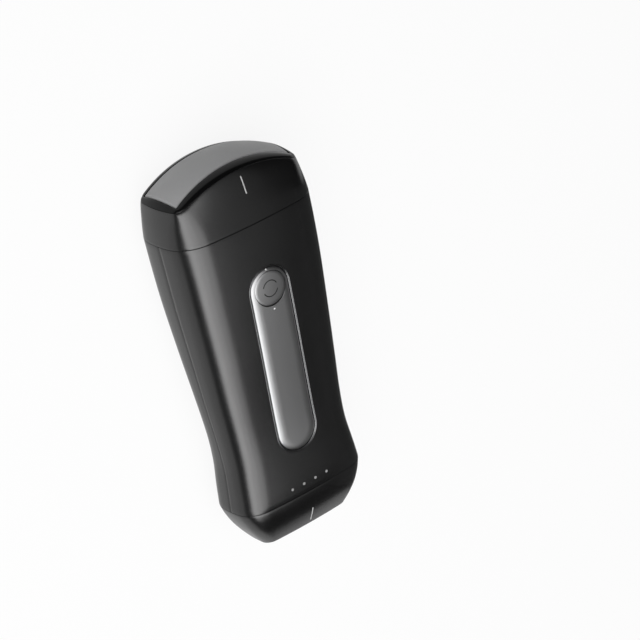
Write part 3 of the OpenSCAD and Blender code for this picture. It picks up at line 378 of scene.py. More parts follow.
def flat_cap():
    start = LINE / 2 / LINEAR_L
    e = EDGE / LINEAR_L
    rings = [flat_ring(start + a / LINEAR_L, SKIN + b) for a, b in soft_steps(EDGE)]
    rings += [flat_ring(start + e + (1 - start - 2 * e) * i / CAP_RINGS, SKIN) for i in range(1, CAP_RINGS)]
    rings += [flat_ring(1 - a / LINEAR_L, SKIN + b) for a, b in reversed(soft_steps(EDGE))]
    rings += [flat_ring(k / 4, WALL * (1 - (1 - NOSE_WALL) * k / 4)) for k in (4, 3, 2, 1)]
    rings += [flat_ring(SPIGOT_ROOT / LINEAR_L, WALL + FIT + SPIGOT_T),
              seam_ring(LINEAR_SEAM + SPIGOT_L, WALL + FIT + SPIGOT_T),
              seam_ring(LINEAR_SEAM + SPIGOT_L, WALL + FIT), flat_ring(start, WALL + FIT)]
    return skin_through("flat_head_cap", rings, joined=True)


def between(a, b, share, lift, back):
    """A loop between two others, pushed out to round a bezel."""
    bulge = lift * 4 * share * (1 - share) * MM
    out = []
    for p, q in zip(a, b):
        m = p.lerp(q, share)
        side = 1 if p.z > MID_Z * MM else -1
        out.append(m + Vector((0, -bulge if back else bulge, side * bulge)))
    return out


def curved_bezel():
    start = CAP_SHARE + FIT / CONVEX_L
    foot = curved_ring(start, SKIN)
    lip = [on_curved_lens(x, z, 0) for x, z in lens_outline(CONVEX_W, CONVEX_T, FIT)]
    rings = [curved_ring(start, SKIN + CURVED_TUCK)]
    rings += [between(foot, lip, s, CURVED_ROUND, False)
              for s in (0.03, 0.08, 0.2, 0.35, 0.5, 0.65, 0.8, 0.92, 0.98)]
    rings += [[on_curved_lens(x, z, lift) for x, z in lens_outline(CONVEX_W, CONVEX_T, grow)]
              for lift, grow in ((-CURVED_LIP, FIT), (-CURVED_DEEP, FIT), (-CURVED_DEEP, FIT + CURVED_FOOT))]
    rings += [curved_ring(start, WALL + FIT, CURVED_FOOT), curved_ring(start, WALL + FIT)]
    return skin_through("curved_head_bezel", rings, joined=True)


def flat_loop(grow, off):
    return [mm(x, RIM_Y - off, MID_Z + z) for x, z in lens_outline(LINEAR_W, LINEAR_T, grow)]


def flat_bezel():
    foot = flat_ring(1, SKIN, FIT)
    lip = flat_loop(FIT, FLAT_LIP)
    rings = [flat_ring(1, SKIN + FLAT_TUCK, FIT)]
    rings += [between(foot, lip, s, FLAT_ROUND, True) for s in (0.06, 0.15, 0.3, 0.5, 0.7, 0.85, 0.96)]
    inset = WALL * NOSE_WALL + FIT
    rings += [flat_loop(FIT, FLAT_LIP - LIP_STEP), flat_loop(FIT, -FLAT_DEEP),
              flat_loop(FIT + FLAT_FOOT, -FLAT_DEEP), flat_ring(1, inset, -FLAT_DEEP / 2),
              flat_ring(1, inset, FIT)]
    return skin_through("flat_head_bezel", rings, joined=True)


def curved_lens():
    """A grid bent over the array, its border rounded down and drawn in to a plain edge."""
    bm = bmesh.new()
    half_a, h = math.asin(CONVEX_W / 2 / CONVEX_R), CONVEX_T / 2
    bmesh.ops.create_grid(bm, x_segments=96, y_segments=40, size=1.0)
    for v in bm.verts:
        u, w = v.co.x, v.co.y
        a, z = u * half_a, w * h
        away = min((1 - abs(u)) * half_a * CONVEX_R, (1 - abs(w)) * h)
        drop = LENS_DROP * max(0.0, 1 - away / LENS_BORDER) ** 2
        r = CONVEX_R + BULGE * (1 - w * w) - drop
        v.co = mm(r * math.sin(a), ARC_Y + r * math.cos(a), MID_Z + z)
    rim = [e for e in bm.edges if e.is_boundary]
    made = bmesh.ops.extrude_edge_only(bm, edges=rim)["geom"]
    for v in (g for g in made if isinstance(g, bmesh.types.BMVert)):
        from_centre = Vector((v.co.x, v.co.y - ARC_Y * MM, 0))
        out = from_centre.normalized()
        v.co -= out * (out.dot(from_centre) - LENS_INSIDE_R * MM)
    bmesh.ops.holes_fill(bm, edges=[e for e in bm.edges if e.is_boundary], sides=0)
    return finish_mesh("curved_lens_face", bm)


def flat_lens():
    bm = bmesh.new()
    bmesh.ops.create_cube(bm, size=1.0)
    bmesh.ops.scale(bm, verts=bm.verts[:], vec=(LINEAR_W * MM, FLAT_LENS_T * MM, LINEAR_T * MM))
    bmesh.ops.translate(bm, verts=bm.verts[:], vec=mm(0, RIM_Y - PROUD + FLAT_LENS_T / 2, MID_Z))
    front = [e for e in bm.edges if all(v.co.y < (RIM_Y - PROUD + FLAT_LENS_T / 2) * MM for v in e.verts)]
    bmesh.ops.bevel(bm, geom=front, offset=FLAT_LENS_EDGE * MM, offset_type="OFFSET", segments=4, profile=0.5,
                    affect="EDGES", material=-1, clamp_overlap=True)
    return finish_mesh("flat_lens_face", bm)


dressed(curved_cap(), "scanner", "black_plastic", "convex_cap")
dressed(curved_bezel(), "scanner", "gloss_black", "convex_bezel")
dressed(curved_lens(), "scanner", "lens_silicone", "convex_lens")
dressed(flat_cap(), "scanner", "black_plastic", "linear_cap")
dressed(flat_bezel(), "scanner", "gloss_black", "linear_bezel")
dressed(flat_lens(), "scanner", "lens_silicone", "linear_lens")


# The silver panel in its rim, and the button.

# The panel's rolled edge: its width and depth, and where along it the rings lie. Then the rings inside it.
ROLL_W, ROLL_D = 3.2, 1.15
ROLL_PLACES = (1, 0.9, 0.8, 0.7, 0.6, 0.5, 0.42, 0.34, 0.27, 0.2, 0.14, 0.09, 0.05, 0.025, 0.008, 0)
FLAT_RADII, FOOT_RING = (PINCH, 1.0, 2.2, 3.4, 4.6), 4
# A hair's gap: the panel's foot over the ledge, the button's edge under its crown.
HAIR = 0.02
# The button: its soft edge, how far its plate hangs under the ledge, and the rings of its crown.
BUTTON_EDGE, PLATE_DROP, CROWN_RINGS = 0.32, 1.15, (6.5, 5.6, 4.5, 3.4, 2.3, 1.2, 0)
# The hole's tool flares over the panel. It and the button lean with the face over these heights.
HOLE_FLARE, HOLE_OVER, HOLE_LEAN_Z, BUTTON_LEAN_Z = 0.6, 2, 30, 33
INDICATOR_OFF = 1.5
# The rim's section as (radius, height over the case): a high outer lip and a low inner one.
RIM_SECTION = [(9.35, -1.4), (9.35, -0.04), (9.31, 0.05), (9.22, 0.11), (9.1, 0.11), (9.01, 0.05),
               (8.97, -0.06), (8.93, -0.16), (8.85, -0.2), (8.76, -0.19), (8.68, -0.24), (8.62, -0.36),
               (8.6, -0.5), (8.6, -1.4)]
# The mark on the button: middle radius, half width, height, depth, bevel, and the turn of each of its arcs.
MARK_R, MARK_HALF, MARK_H, MARK_ROOT, MARK_BEVEL, MARK_ARC = 3.17, 0.21, 0.012, 0.1, 0.03, 140


def panel():
    foot = -LEDGE_D + HAIR
    rows = [(r, RISE) for r in FLAT_RADII]
    rows += [(PANEL_R - ROLL_W * s, RISE - ROLL_D * (1 - share_at(PANEL_ROLL, s))) for s in ROLL_PLACES]
    rows += [(PANEL_R, foot), (FOOT_RING, foot), (PINCH, foot)]
    return skin_through("silver_panel", [stadium_ring(r, z) for r, z in rows], merge=PINCH_MERGE,
                        sharp=PANEL_SHARP)


def rim():
    return skin_through("polished_rim", [stadium_ring(r, z) for r, z in RIM_SECTION], joined=True,
                        sharp=PANEL_SHARP)


slope = (front_z(0, BUTTON_Y + BUTTON_R) - front_z(0, BUTTON_Y - BUTTON_R)) / (2 * BUTTON_R)
top_z = MID_Z + front_z(0, BUTTON_Y) + RISE
hole_r = BUTTON_R + BUTTON_GAP
indicator_ys = [(BUTTON_Y + hole_r + FAR_Y + PANEL_R) / 2, BUTTON_Y - hole_r - INDICATOR_OFF]
silver_panel = panel()
hole = turned("hole_tool", [(0, TOOL_LOW), (hole_r, TOOL_LOW), (hole_r, top_z - EDGE),
                            (hole_r + EDGE, top_z + HAIR), (hole_r + HOLE_FLARE, top_z + HOLE_OVER),
                            (0, top_z + HOLE_OVER)], (0, BUTTON_Y), slope=slope, from_z=HOLE_LEAN_Z)
cut(silver_panel, hole, *[light_tool(0, y, INDICATOR_R) for y in indicator_ys])
dressed(silver_panel, "scanner", "silver_panel", "control_panel")
dressed(rim(), "scanner", "polished_rim", "panel_rim")


def crown(r):
    """Height of the button's domed top at a radius."""
    return top_z - (BUTTON_CROWN_R - math.sqrt(BUTTON_CROWN_R ** 2 - r * r))


def push_button():
    under = MID_Z + front_z(0, BUTTON_Y) - LEDGE_D - PLATE_DROP
    e, edge_z = BUTTON_EDGE, crown(BUTTON_R) - HAIR
    profile = [(0, STEM_FOOT_Z), (STEM_R, STEM_FOOT_Z), (STEM_R, under), (BUTTON_R, under),
               (BUTTON_R, edge_z - e)]
    profile += [(BUTTON_R - e * (1 - math.cos(a)), edge_z - e * (1 - math.sin(a)))
                for a in (math.pi / 8, math.pi / 4, 3 * math.pi / 8)]
    profile += [(r, crown(r)) for r in CROWN_RINGS]
    return turned("push_button", profile, (0, BUTTON_Y), slope=slope, from_z=BUTTON_LEAN_Z)


def broken_circle():
    """Two arcs of a thin raised ring on the button's crown."""
    pieces = bmesh.new()
    lo, hi = MARK_R - MARK_HALF, MARK_R + MARK_HALF
    for turn in (20, 200):
        base = crown(MARK_R)
        shoulder, top = base + MARK_H / 3, base + MARK_H
        pts = [(lo, base - MARK_ROOT), (lo, shoulder), (lo + MARK_BEVEL, top), (hi - MARK_BEVEL, top),
               (hi, shoulder), (hi, base - MARK_ROOT)]
        bm = bmesh.new()
        a0 = math.radians(turn)
        verts = [bm.verts.new(mm(r * math.cos(a0), r * math.sin(a0), z)) for r, z in pts]
        bm.faces.new(verts)
        bmesh.ops.spin(bm, geom=bm.verts[:] + bm.edges[:] + bm.faces[:], cent=(0, 0, 0), axis=(0, 0, 1),
                       angle=math.radians(MARK_ARC), steps=48, use_merge=False)
        part = bpy.data.meshes.new("arc")
        bm.to_mesh(part)
        bm.free()
        pieces.from_mesh(part)
    for v in pieces.verts:
        v.co.z += v.co.y * slope
    bmesh.ops.translate(pieces, verts=pieces.verts[:], vec=mm(0, BUTTON_Y, 0))
    return finish_mesh("broken_circle", pieces)


dressed(push_button(), "button", "silver_panel", "button")
dressed(broken_circle(), "button", "print_dark", "button_mark")


# Materials. The lengths in them are in metres.

# Most values of a noise lie between these two.
NOISE_LO, NOISE_HI = 0.3, 0.7
# Height of the grain on mouldings and on metal.
GRAIN_H, METAL_GRAIN_H = 0.00005, 0.00003
DUST_COLOUR = (0.5, 0.5, 0.49, 1)
LEAST_ROUGH, COAT_ROUGH = 0.02, 0.1
LACQUER = (0.012, 0.075, 0.03)


def new_group(name, inputs, outputs):
    group = bpy.data.node_groups.new(name, "ShaderNodeTree")
    for label, kind, value in inputs:
        socket = group.interface.new_socket(name=label, in_out="INPUT", socket_type=kind)
        if value is not None:
            socket.default_value = value
    for label, kind in outputs:
        group.interface.new_socket(name=label, in_out="OUTPUT", socket_type=kind)
    return group, group.nodes.new("NodeGroupInput"), group.nodes.new("NodeGroupOutput")


def node(tree, kind, **values):
    made = tree.nodes.new(kind)
    for key, value in values.items():
        if key in made.inputs:
            made.inputs[key].default_value = value
        else:
            setattr(made, key, value)
    return made


def noise(tree, where, scale, detail):
    made = node(tree, "ShaderNodeTexNoise", Scale=scale, Detail=detail)
    tree.links.new(where, made.inputs["Vector"])
    return made.outputs["Fac"]


def spread(tree, value, lo, hi, out_lo=0.0, out_hi=1.0):
    """Maps lo..hi to out_lo..out_hi."""
    made = node(tree, "ShaderNodeMapRange", clamp=True)
    tree.links.new(value, made.inputs["Value"])
    for key, v in (("From Min", lo), ("From Max", hi), ("To Min", out_lo), ("To Max", out_hi)):
        made.inputs[key].default_value = v
    return made.outputs["Result"]


def maths(tree, op, a, b=None):
    made = node(tree, "ShaderNodeMath", operation=op)
    for i, v in enumerate((a, b)):
        if v is None:
            continue
        if isinstance(v, (int, float)):
            made.inputs[i].default_value = v
        else:
            tree.links.new(v, made.inputs[i])
    return made.outputs[0]


def blend_colours(tree, fac, a, b):
    made = node(tree, "ShaderNodeMix", data_type="RGBA")
    for i, v in ((0, fac), (6, a), (7, b)):
        if isinstance(v, tuple):
            made.inputs[i].default_value = v
        else:
            tree.links.new(v, made.inputs[i])
    return made.outputs[2]


def build_grain():
    """Moulded or blasted grain as a height, with the slow unevenness under it."""
    group, into, out = new_group(
        "fine_grain", [("Vector", "NodeSocketVector", None), ("Grain", "NodeSocketFloat", 6000.0),
                       ("Unevenness", "NodeSocketFloat", 0.3)],
        [("Height", "NodeSocketFloat"), ("Mask", "NodeSocketFloat")])
    fine = node(group, "ShaderNodeTexNoise", Detail=3.0, Roughness=0.6)
    slow = node(group, "ShaderNodeTexNoise", Scale=90.0, Detail=2.0)
    group.links.new(into.outputs["Vector"], fine.inputs["Vector"])
    group.links.new(into.outputs["Grain"], fine.inputs["Scale"])
    group.links.new(into.outputs["Vector"], slow.inputs["Vector"])
    lifted = maths(group, "MULTIPLY", slow.outputs["Fac"], into.outputs["Unevenness"])
    group.links.new(maths(group, "ADD", fine.outputs["Fac"], lifted), out.inputs["Height"])
    group.links.new(fine.outputs["Fac"], out.inputs["Mask"])
    return group


def build_handling():
    """Where hands have polished or smeared a surface: soft blots broken by fine streaks."""
    group, into, out = new_group(
        "handling", [("Vector", "NodeSocketVector", None), ("Size", "NodeSocketFloat", 60.0)],
        [("Mask", "NodeSocketFloat")])
    blot = node(group, "ShaderNodeTexNoise", Detail=4.0, Roughness=0.55)
    streak = node(group, "ShaderNodeTexNoise", Scale=900.0, Detail=2.0)
    group.links.new(into.outputs["Vector"], blot.inputs["Vector"])
    group.links.new(into.outputs["Size"], blot.inputs["Scale"])
    group.links.new(into.outputs["Vector"], streak.inputs["Vector"])
    wide = spread(group, blot.outputs["Fac"], 0.45, NOISE_HI)
    broken = spread(group, streak.outputs["Fac"], NOISE_LO, NOISE_HI, 0.6, 1.0)
    group.links.new(maths(group, "MULTIPLY", wide, broken), out.inputs["Mask"])
    return group


def build_dust():
    """Sparse specks of dust."""
    group, into, out = new_group(
        "dust", [("Vector", "NodeSocketVector", None), ("Amount", "NodeSocketFloat", 0.3)],
        [("Mask", "NodeSocketFloat")])
    specks = node(group, "ShaderNodeTexVoronoi", Scale=700.0)
    where = node(group, "ShaderNodeTexNoise", Scale=45.0, Detail=2.0)
    group.links.new(into.outputs["Vector"], specks.inputs["Vector"])
    group.links.new(into.outputs["Vector"], where.inputs["Vector"])
    dots = spread(group, specks.outputs["Distance"], 0.06, 0.12, 1.0, 0.0)
    patch = spread(group, where.outputs["Fac"], 0.5, NOISE_HI)
    group.links.new(maths(group, "MULTIPLY", maths(group, "MULTIPLY", dots, patch), into.outputs["Amount"]),
                    out.inputs["Mask"])
    return group


GRAIN, HANDLING, DUST = build_grain(), build_handling(), build_dust()


def start_finish(name, colour, rough, metal=0.0, specular=0.5, coat=0.0):
    mat = bpy.data.materials.new(name)
    mat.use_nodes = True
    tree = mat.node_tree
    shader = tree.nodes["Principled BSDF"]
    shader.inputs["Base Color"].default_value = (*colour, 1)
    shader.inputs["Roughness"].default_value = rough
    shader.inputs["Metallic"].default_value = metal
    shader.inputs["Specular IOR Level"].default_value = specular
    shader.inputs["Coat Weight"].default_value = coat
    shader.inputs["Coat Roughness"].default_value = COAT_ROUGH
    return mat, tree, shader, tree.nodes.new("ShaderNodeTexCoord").outputs["Object"]


def placed(tree, group, where, **values):
    made = node(tree, "ShaderNodeGroup", node_tree=group)
    for key, value in values.items():
        made.inputs[key].default_value = value
    tree.links.new(where, made.inputs["Vector"])
    return made


def bump(tree, shader, height, strength, distance):
    made = node(tree, "ShaderNodeBump", Strength=strength, Distance=distance)
    tree.links.new(height, made.inputs["Height"])
    tree.links.new(made.outputs["Normal"], shader.inputs["Normal"])


def toned(colour, low, high):
    """A darker and a lighter tone of a colour, for the grain to vary between."""
    return tuple(c * low for c in colour) + (1,), tuple(min(c * high, 1) for c in colour) + (1,)


def moulded(name, colour, rough, grain, depth=0.15, uneven=0.3, worn=0.06, dusty=0.1, size=60.0, **kw):
    """Moulded plastic, rubber or resin: grain, handled blots in its sheen, and a little dust."""
    mat, tree, shader, where = start_finish(name, colour, rough, **kw)
    fine = placed(tree, GRAIN, where, Grain=grain, Unevenness=uneven)
    hands = placed(tree, HANDLING, where, Size=size)
    dust = placed(tree, DUST, where, Amount=dusty)
    tint = spread(tree, fine.outputs["Mask"], NOISE_LO, NOISE_HI)
    base = blend_colours(tree, tint, *toned(colour, 0.9, 1.08))
    base = blend_colours(tree, dust.outputs["Mask"], base, DUST_COLOUR)
    tree.links.new(base, shader.inputs["Base Color"])
    tree.links.new(spread(tree, hands.outputs["Mask"], 0.0, 1.0, rough, max(rough - worn, LEAST_ROUGH)),
                   shader.inputs["Roughness"])
    bump(tree, shader, fine.outputs["Height"], depth, GRAIN_H)
    return mat


def metal(name, colour, rough, grain, depth, worn=0.08, brushed=None):
    """Blasted or brushed metal. brushed stretches the grain along one axis."""
    mat, tree, shader, where = start_finish(name, colour, rough, metal=1.0)
    if brushed:
        turn = node(tree, "ShaderNodeMapping", Scale=brushed)
        tree.links.new(where, turn.inputs["Vector"])
        along = turn.outputs["Vector"]
    else:
        along = where
    fine = placed(tree, GRAIN, along, Grain=grain, Unevenness=0.15)
    hands = placed(tree, HANDLING, where, Size=80.0)
    tint = spread(tree, fine.outputs["Mask"], NOISE_LO, NOISE_HI)
    base = blend_colours(tree, tint, *toned(colour, 0.94, 1.05))
    tree.links.new(base, shader.inputs["Base Color"])
    tree.links.new(spread(tree, hands.outputs["Mask"], 0.0, 1.0, rough, rough + worn),
                   shader.inputs["Roughness"])
    bump(tree, shader, fine.outputs["Height"], depth, METAL_GRAIN_H)
    return mat


case_black = moulded("case_black", (0.003, 0.003, 0.0031), 0.27, grain=5200.0, depth=0.12, worn=0.03,
                     dusty=0.0, specular=0.7)
gloss_black = moulded("gloss_black", (0.003, 0.003, 0.0031), 0.16, grain=900.0, depth=0.01, uneven=0.6,
                      worn=-0.05, dusty=0.0, specular=0.2)
lens_grey = moulded("lens_grey", (0.29, 0.29, 0.294), 0.46, grain=3500.0, depth=0.06, uneven=0.5, worn=0.08,
                    dusty=0.05, size=90.0, specular=1.0)
seal_black = moulded("seal_black", (0.008, 0.008, 0.008), 0.7, grain=4000.0, depth=0.3)
print_grey = moulded("print_grey", (0.4, 0.4, 0.4), 0.5, grain=9000.0, depth=0.05, dusty=0.0)
print_dark = moulded("print_dark", (0.012, 0.012, 0.012), 0.5, grain=9000.0, depth=0.05, dusty=0.0,
                     specular=0.1)
light_resin = moulded("light_resin", (0.24, 0.24, 0.24), 0.25, grain=3000.0, depth=0.04, dusty=0.0)
# The indicator lights' pale colour is partly their own and partly a painted glint: it is raised so the small
# domes show as bright points.
lamp_clear_painted_glint = moulded("lamp_clear_painted_glint", (0.6, 0.6, 0.6), 0.12, grain=3000.0, depth=0.04, dusty=0.0)
lamp_resin = moulded("lamp_resin", (0.85, 0.84, 0.74), 0.3, grain=3000.0, depth=0.1, dusty=0.0)
silver = metal("silver", (0.3, 0.3, 0.303), 0.38, grain=7000.0, depth=0.03, worn=0.015)
rim_metal = metal("rim_metal", (0.14, 0.14, 0.142), 0.22, grain=5000.0, depth=0.02, worn=0.02)
inner_black = moulded("inner_black", (0.03, 0.031, 0.033), 0.55, grain=3500.0, depth=0.25)
switch_ivory = moulded("switch_ivory", (0.62, 0.61, 0.55), 0.5, grain=3000.0, depth=0.15)
plunger_yellow = moulded("plunger_yellow", (0.72, 0.48, 0.03), 0.4, grain=3000.0, depth=0.1)
matching_resin = moulded("matching_resin", (0.33, 0.27, 0.08), 0.55, grain=2500.0, depth=0.2)
backing_rubber = moulded("backing_rubber", (0.024, 0.024, 0.024), 0.75, grain=2200.0, depth=0.5,
                         uneven=0.8)
foam_grey = moulded("foam_grey", (0.035, 0.035, 0.036), 0.9, grain=2600.0, depth=0.8, uneven=0.2)
chip_black = moulded("chip_black", (0.012, 0.012, 0.013), 0.5, grain=5000.0, depth=0.3, dusty=0.0)
ceramic = moulded("ceramic", (0.78, 0.75, 0.68), 0.4, grain=4000.0, depth=0.1, dusty=0.0)
connector_ivory = moulded("connector_ivory", (0.76, 0.73, 0.62), 0.5, grain=3000.0, depth=0.15, dusty=0.0)
ferrite = moulded("ferrite", (0.05, 0.05, 0.053), 0.6, grain=1800.0, depth=0.4, uneven=0.5)
chassis_metal = metal("chassis_metal", (0.5, 0.51, 0.52), 0.34, grain=2400.0, depth=0.15,
                      brushed=(1.0, 0.04, 1.0))
shield_metal = metal("shield_metal", (0.6, 0.61, 0.62), 0.28, grain=2600.0, depth=0.12,
                     brushed=(0.05, 1.0, 1.0))
screw_steel = metal("screw_steel", (0.5, 0.5, 0.51), 0.25, grain=4000.0, depth=0.15)


def striped(name, colour, line, pitch, axis, rough, metallic=0.0, duty=0.5):
    """Fine lines across a film, a crystal layer or a winding; axis R runs them in rings round the coil."""
    mat, tree, shader, where = start_finish(name, colour, rough, metal=metallic)
    if axis == "R":
        centre = node(tree, "ShaderNodeMapping", Location=(0.0, -COIL_Y * MM, 0.0))
        tree.links.new(where, centre.inputs["Vector"])
        flat = node(tree, "ShaderNodeVectorMath", operation="MULTIPLY")
        flat.inputs[1].default_value = (1, 1, 0)
        tree.links.new(centre.outputs["Vector"], flat.inputs[0])
        length = node(tree, "ShaderNodeVectorMath", operation="LENGTH")
        tree.links.new(flat.outputs["Vector"], length.inputs[0])
        along = length.outputs["Value"]
    else:
        apart = node(tree, "ShaderNodeSeparateXYZ")
        tree.links.new(where, apart.inputs["Vector"])
        along = apart.outputs[axis]
    phase = maths(tree, "FRACT", maths(tree, "DIVIDE", along, pitch))
    ridge = maths(tree, "ABSOLUTE", maths(tree, "SUBTRACT", phase, 0.5))
    mask = spread(tree, ridge, 0.5 * duty - 0.06, 0.5 * duty + 0.06)
    fine = placed(tree, GRAIN, where, Grain=3000.0, Unevenness=0.4)
    base = blend_colours(tree, mask, (*colour, 1), (*line, 1))
    grime = spread(tree, fine.outputs["Mask"], NOISE_LO, NOISE_HI, 0.0, 0.2)
    tree.links.new(blend_colours(tree, grime, base, (0.05, 0.04, 0.03, 1)), shader.inputs["Base Color"])
    height = maths(tree, "ADD", mask, maths(tree, "MULTIPLY", fine.outputs["Height"], 0.15))
    bump(tree, shader, height, 0.3, GRAIN_H)
    return mat


flex_film = striped("flex_film", (0.42, 0.16, 0.02), (0.62, 0.3, 0.06), 0.0006, "X", 0.32)
crystal_rows = striped("crystal_rows", (0.48, 0.4, 0.28), (0.16, 0.12, 0.07), 0.0004, "X", 0.5, duty=0.8)
coil_wire = striped("coil_wire", (0.62, 0.24, 0.09), (0.2, 0.06, 0.02), 0.0006, "R", 0.3, metallic=1.0,
                    duty=0.75)


def board_finish():
    """Green lacquer over copper tracks, with plated pads."""
    mat, tree, shader, where = start_finish("board_lacquer", LACQUER, 0.35, coat=0.2)
    tracks = node(tree, "ShaderNodeTexBrick", Scale=420.0)
    tracks.offset = 0.35
    for key, value in (("Mortar Size", 0.12), ("Mortar Smooth", 0.1), ("Brick Width", 1.7),
                       ("Row Height", 0.42)):
        tracks.inputs[key].default_value = value
    tracks.inputs["Color1"].default_value = (0, 0, 0, 1)
    tracks.inputs["Color2"].default_value = (0, 0, 0, 1)
    tracks.inputs["Mortar"].default_value = (1, 1, 1, 1)
    tree.links.new(where, tracks.inputs["Vector"])
    dots = node(tree, "ShaderNodeTexVoronoi", Scale=330.0)
    tree.links.new(where, dots.inputs["Vector"])
    pads = spread(tree, dots.outputs["Distance"], 0.1, 0.14, 1.0, 0.0)
    base = blend_colours(tree, tracks.outputs["Color"], (*LACQUER, 1), (0.03, 0.13, 0.05, 1))
    base = blend_colours(tree, pads, base, (0.62, 0.5, 0.26, 1))
    tree.links.new(base, shader.inputs["Base Color"])
    fine = placed(tree, GRAIN, where, Grain=2500.0, Unevenness=0.3)
    height = maths(tree, "ADD", tracks.outputs["Color"], maths(tree, "MULTIPLY", fine.outputs["Height"], 0.2))
    bump(tree, shader, height, 0.25, GRAIN_H)
    return mat


def battery_finish():
    """Foil pouch in a printed sleeve: soft quilting under a satin film."""
    mat, tree, shader, where = start_finish("battery_sleeve", (0.045, 0.07, 0.11), 0.38, coat=0.15)
    quilt = noise(tree, where, 260.0, 3.0)
    hands = placed(tree, HANDLING, where, Size=70.0)
    base = blend_colours(tree, spread(tree, quilt, NOISE_LO, NOISE_HI), (0.04, 0.062, 0.1, 1),
                         (0.055, 0.085, 0.13, 1))
    base = blend_colours(tree, maths(tree, "MULTIPLY", hands.outputs["Mask"], 0.25), base,
                         (0.12, 0.14, 0.17, 1))
    tree.links.new(base, shader.inputs["Base Color"])
    bump(tree, shader, quilt, 0.35, 0.0002)
    return mat


FINISHES = {
    "front_case": case_black, "back_case": case_black,
    "curved_head_cap": case_black, "flat_head_cap": case_black,
    "curved_head_bezel": gloss_black, "flat_head_bezel": gloss_black,
    "curved_lens_face": lens_grey, "flat_lens_face": lens_grey,
    "silver_panel": silver, "push_button": silver, "polished_rim": rim_metal, "broken_circle": print_dark,
    "side_seals": seal_black, "convex_seal": seal_black, "linear_seal": seal_black,
    "convex_mark": print_grey, "linear_mark": print_grey,
    "status_light_guide": light_resin, "indicator_lights": lamp_clear_painted_glint,
    "status_leds": lamp_resin, "indicator_leds": lamp_resin,
    "convex_matching_layer": matching_resin, "linear_matching_layer": matching_resin,
    "convex_crystals": crystal_rows, "linear_crystals": crystal_rows,
    "convex_backing": backing_rubber, "linear_backing": backing_rubber,
    "convex_flex": flex_film, "linear_flex": flex_film, "battery_flex": flex_film,
    "button_guide": inner_black, "stem_seal": seal_black, "switch_body": switch_ivory,
    "switch_plunger": plunger_yellow, "chassis": chassis_metal, "heat_spreader": chassis_metal,
    "main_board": board_finish(), "beamformer_chips": chip_black, "processor_chip": chip_black,
    "wireless_module": shield_metal, "antenna": ceramic, "board_connectors": connector_ivory,
    "board_screws": screw_steel, "battery": battery_finish(), "battery_pad": foam_grey,
    "charging_coil": coil_wire, "ferrite_sheet": ferrite,
}
for name, finish in FINISHES.items():
    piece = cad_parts.get(name) or bpy.data.objects.get(name)
    slots = piece.material_slots
    if slots:
        for slot in slots:
            slot.material = finish
    else:
        piece.data.materials.append(finish)


# Floor, lamps, world and camera. Lengths in metres.

FLOOR_SIZE, PAPER = 20.0, 0.6
# How much of the floor is plain white to the camera, and how much dimmer the reflections see that white.
WHITE_SHARE, GLOSSY_LOSS = 0.9, 0.2
# The black card's place on the right of the scanner.
CARD_X, CARD_NEAR_Y, CARD_FAR_Y, CARD_H = 0.06, -0.13, 0.05, 0.08
# The softboxes lie side by side, all with the same lengthways direction.
BOX_LENGTHWAYS = Vector((-0.219, 0.970, -0.102)).normalized()
# Their distance, and their length and shift along that direction as shares of it.
BOX_DISTANCE, BOX_LENGTH, BOX_SHIFT = 1.2, 1.5, 0.22
WORLD_LEVEL = 0.02
# The camera stands where the photograph's stood for the left scanner.
CAMERA_LENS, CAMERA_SENSOR, CAMERA_CLIP = 156.59, 36.0, 0.01
CAMERA_PLACE = Vector((-0.478698, 0.450664, 0.826149))
CAMERA_RIGHT = Vector((0.776888, -0.195841, 0.598407)).normalized()
CAMERA_UP = Vector((0.40718, 0.881187, -0.240239))


def studio_floor():
    bm = bmesh.new()
    bmesh.ops.create_grid(bm, x_segments=8, y_segments=8, size=FLOOR_SIZE)
    mesh = bpy.data.meshes.new("studio_floor")
    bm.to_mesh(mesh)
    bm.free()
    floor = bpy.data.objects.new("studio_floor", mesh)
    bpy.context.scene.collection.objects.link(floor)
    mat, tree, shader, where = start_finish("floor_paper", (PAPER, PAPER, PAPER), 0.8, specular=0.0)
    paper = noise(tree, where, 40.0, 2.0)
    low, high = PAPER - 0.01, PAPER + 0.01
    tree.links.new(blend_colours(tree, paper, (low, low, low, 1), (high, high, high, 1)),
                   shader.inputs["Base Color"])
    # What the camera and the reflections see is mostly the plain white of the paper.
    path = node(tree, "ShaderNodeLightPath")
    seen = maths(tree, "MAXIMUM", path.outputs["Is Camera Ray"], path.outputs["Is Glossy Ray"])
    seen = maths(tree, "MAXIMUM", seen, path.outputs["Is Transmission Ray"])
    share = maths(tree, "MULTIPLY", seen, WHITE_SHARE)
    white = node(tree, "ShaderNodeEmission")
    white.inputs["Color"].default_value = (1, 1, 1, 1)
    loss = maths(tree, "MULTIPLY", path.outputs["Is Glossy Ray"], GLOSSY_LOSS)
    tree.links.new(maths(tree, "SUBTRACT", 1.0, loss), white.inputs["Strength"])
    mixed = node(tree, "ShaderNodeMixShader")
    tree.links.new(share, mixed.inputs[0])
    tree.links.new(shader.outputs[0], mixed.inputs[1])
    tree.links.new(white.outputs[0], mixed.inputs[2])
    out = next(n for n in tree.nodes if n.type == "OUTPUT_MATERIAL")
    tree.links.new(mixed.outputs[0], out.inputs["Surface"])
    mesh.materials.append(mat)


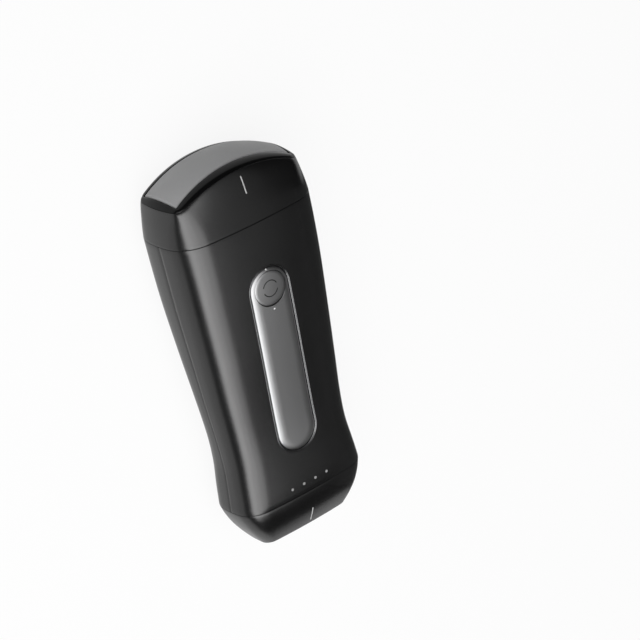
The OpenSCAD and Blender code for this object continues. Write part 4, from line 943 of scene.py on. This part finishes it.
def softbox(name, first, last, level):
    """A long area lamp over the scanner, between two angles from straight up; + is to the right."""
    middle = math.radians((first + last) / 2)
    aim = Vector((math.sin(middle), 0, math.cos(middle)))
    aim = (aim - BOX_LENGTHWAYS * aim.dot(BOX_LENGTHWAYS)).normalized()
    data = bpy.data.lights.new(name, "AREA")
    data.shape = "RECTANGLE"
    data.size = 2 * BOX_DISTANCE * math.tan(math.radians(last - first) / 2)
    data.size_y = BOX_DISTANCE * BOX_LENGTH
    data.energy = level * math.pi * data.size * data.size_y
    lamp = bpy.data.objects.new(name, data)
    across = BOX_LENGTHWAYS.cross(aim)
    turn = Matrix((across, BOX_LENGTHWAYS, aim)).transposed().to_4x4()
    centre = aim * BOX_DISTANCE - BOX_LENGTHWAYS * BOX_DISTANCE * BOX_SHIFT
    lamp.matrix_world = Matrix.Translation(centre) @ turn
    lamp.visible_camera = False
    bpy.context.scene.collection.objects.link(lamp)


def black_card():
    """Keeps the floor out of the reflections on the right flank."""
    bm = bmesh.new()
    for y, z in ((CARD_NEAR_Y, 0), (CARD_FAR_Y, 0), (CARD_FAR_Y, CARD_H), (CARD_NEAR_Y, CARD_H)):
        bm.verts.new((CARD_X, y, z))
    bm.faces.new(bm.verts)
    mesh = bpy.data.meshes.new("black_card")
    bm.to_mesh(mesh)
    bm.free()
    card = bpy.data.objects.new("black_card", mesh)
    bpy.context.scene.collection.objects.link(card)
    card.visible_camera = card.visible_shadow = card.visible_diffuse = False
    mesh.materials.append(start_finish("card_black", (0.1, 0.1, 0.1), 0.9)[0])


studio_floor()
black_card()
softbox("softbox_far_left", -63, -43, 4.9)
softbox("softbox_left", -43, -23, 3.8)
softbox("softbox_top", -23, -3, 2.9)
softbox("softbox_right", -3, 10, 2.3)
softbox("softbox_edge", 11, 34, 0.26)

world = bpy.data.worlds.new("studio_world")
world.use_nodes = True
world.node_tree.nodes["Background"].inputs["Color"].default_value = (1, 1, 1, 1)
world.node_tree.nodes["Background"].inputs["Strength"].default_value = WORLD_LEVEL
bpy.context.scene.world = world
bpy.context.scene.view_settings.view_transform = "Standard"

camera = bpy.data.cameras.new("camera")
camera.lens = CAMERA_LENS
camera.sensor_width = CAMERA_SENSOR
camera.clip_start = CAMERA_CLIP
view_object = bpy.data.objects.new("camera", camera)
up = (CAMERA_UP - CAMERA_RIGHT * CAMERA_UP.dot(CAMERA_RIGHT)).normalized()
place = Matrix((CAMERA_RIGHT, up, CAMERA_RIGHT.cross(up))).transposed().to_4x4()
place.translation = CAMERA_PLACE
view_object.matrix_world = place
bpy.context.scene.collection.objects.link(view_object)
bpy.context.scene.camera = view_object
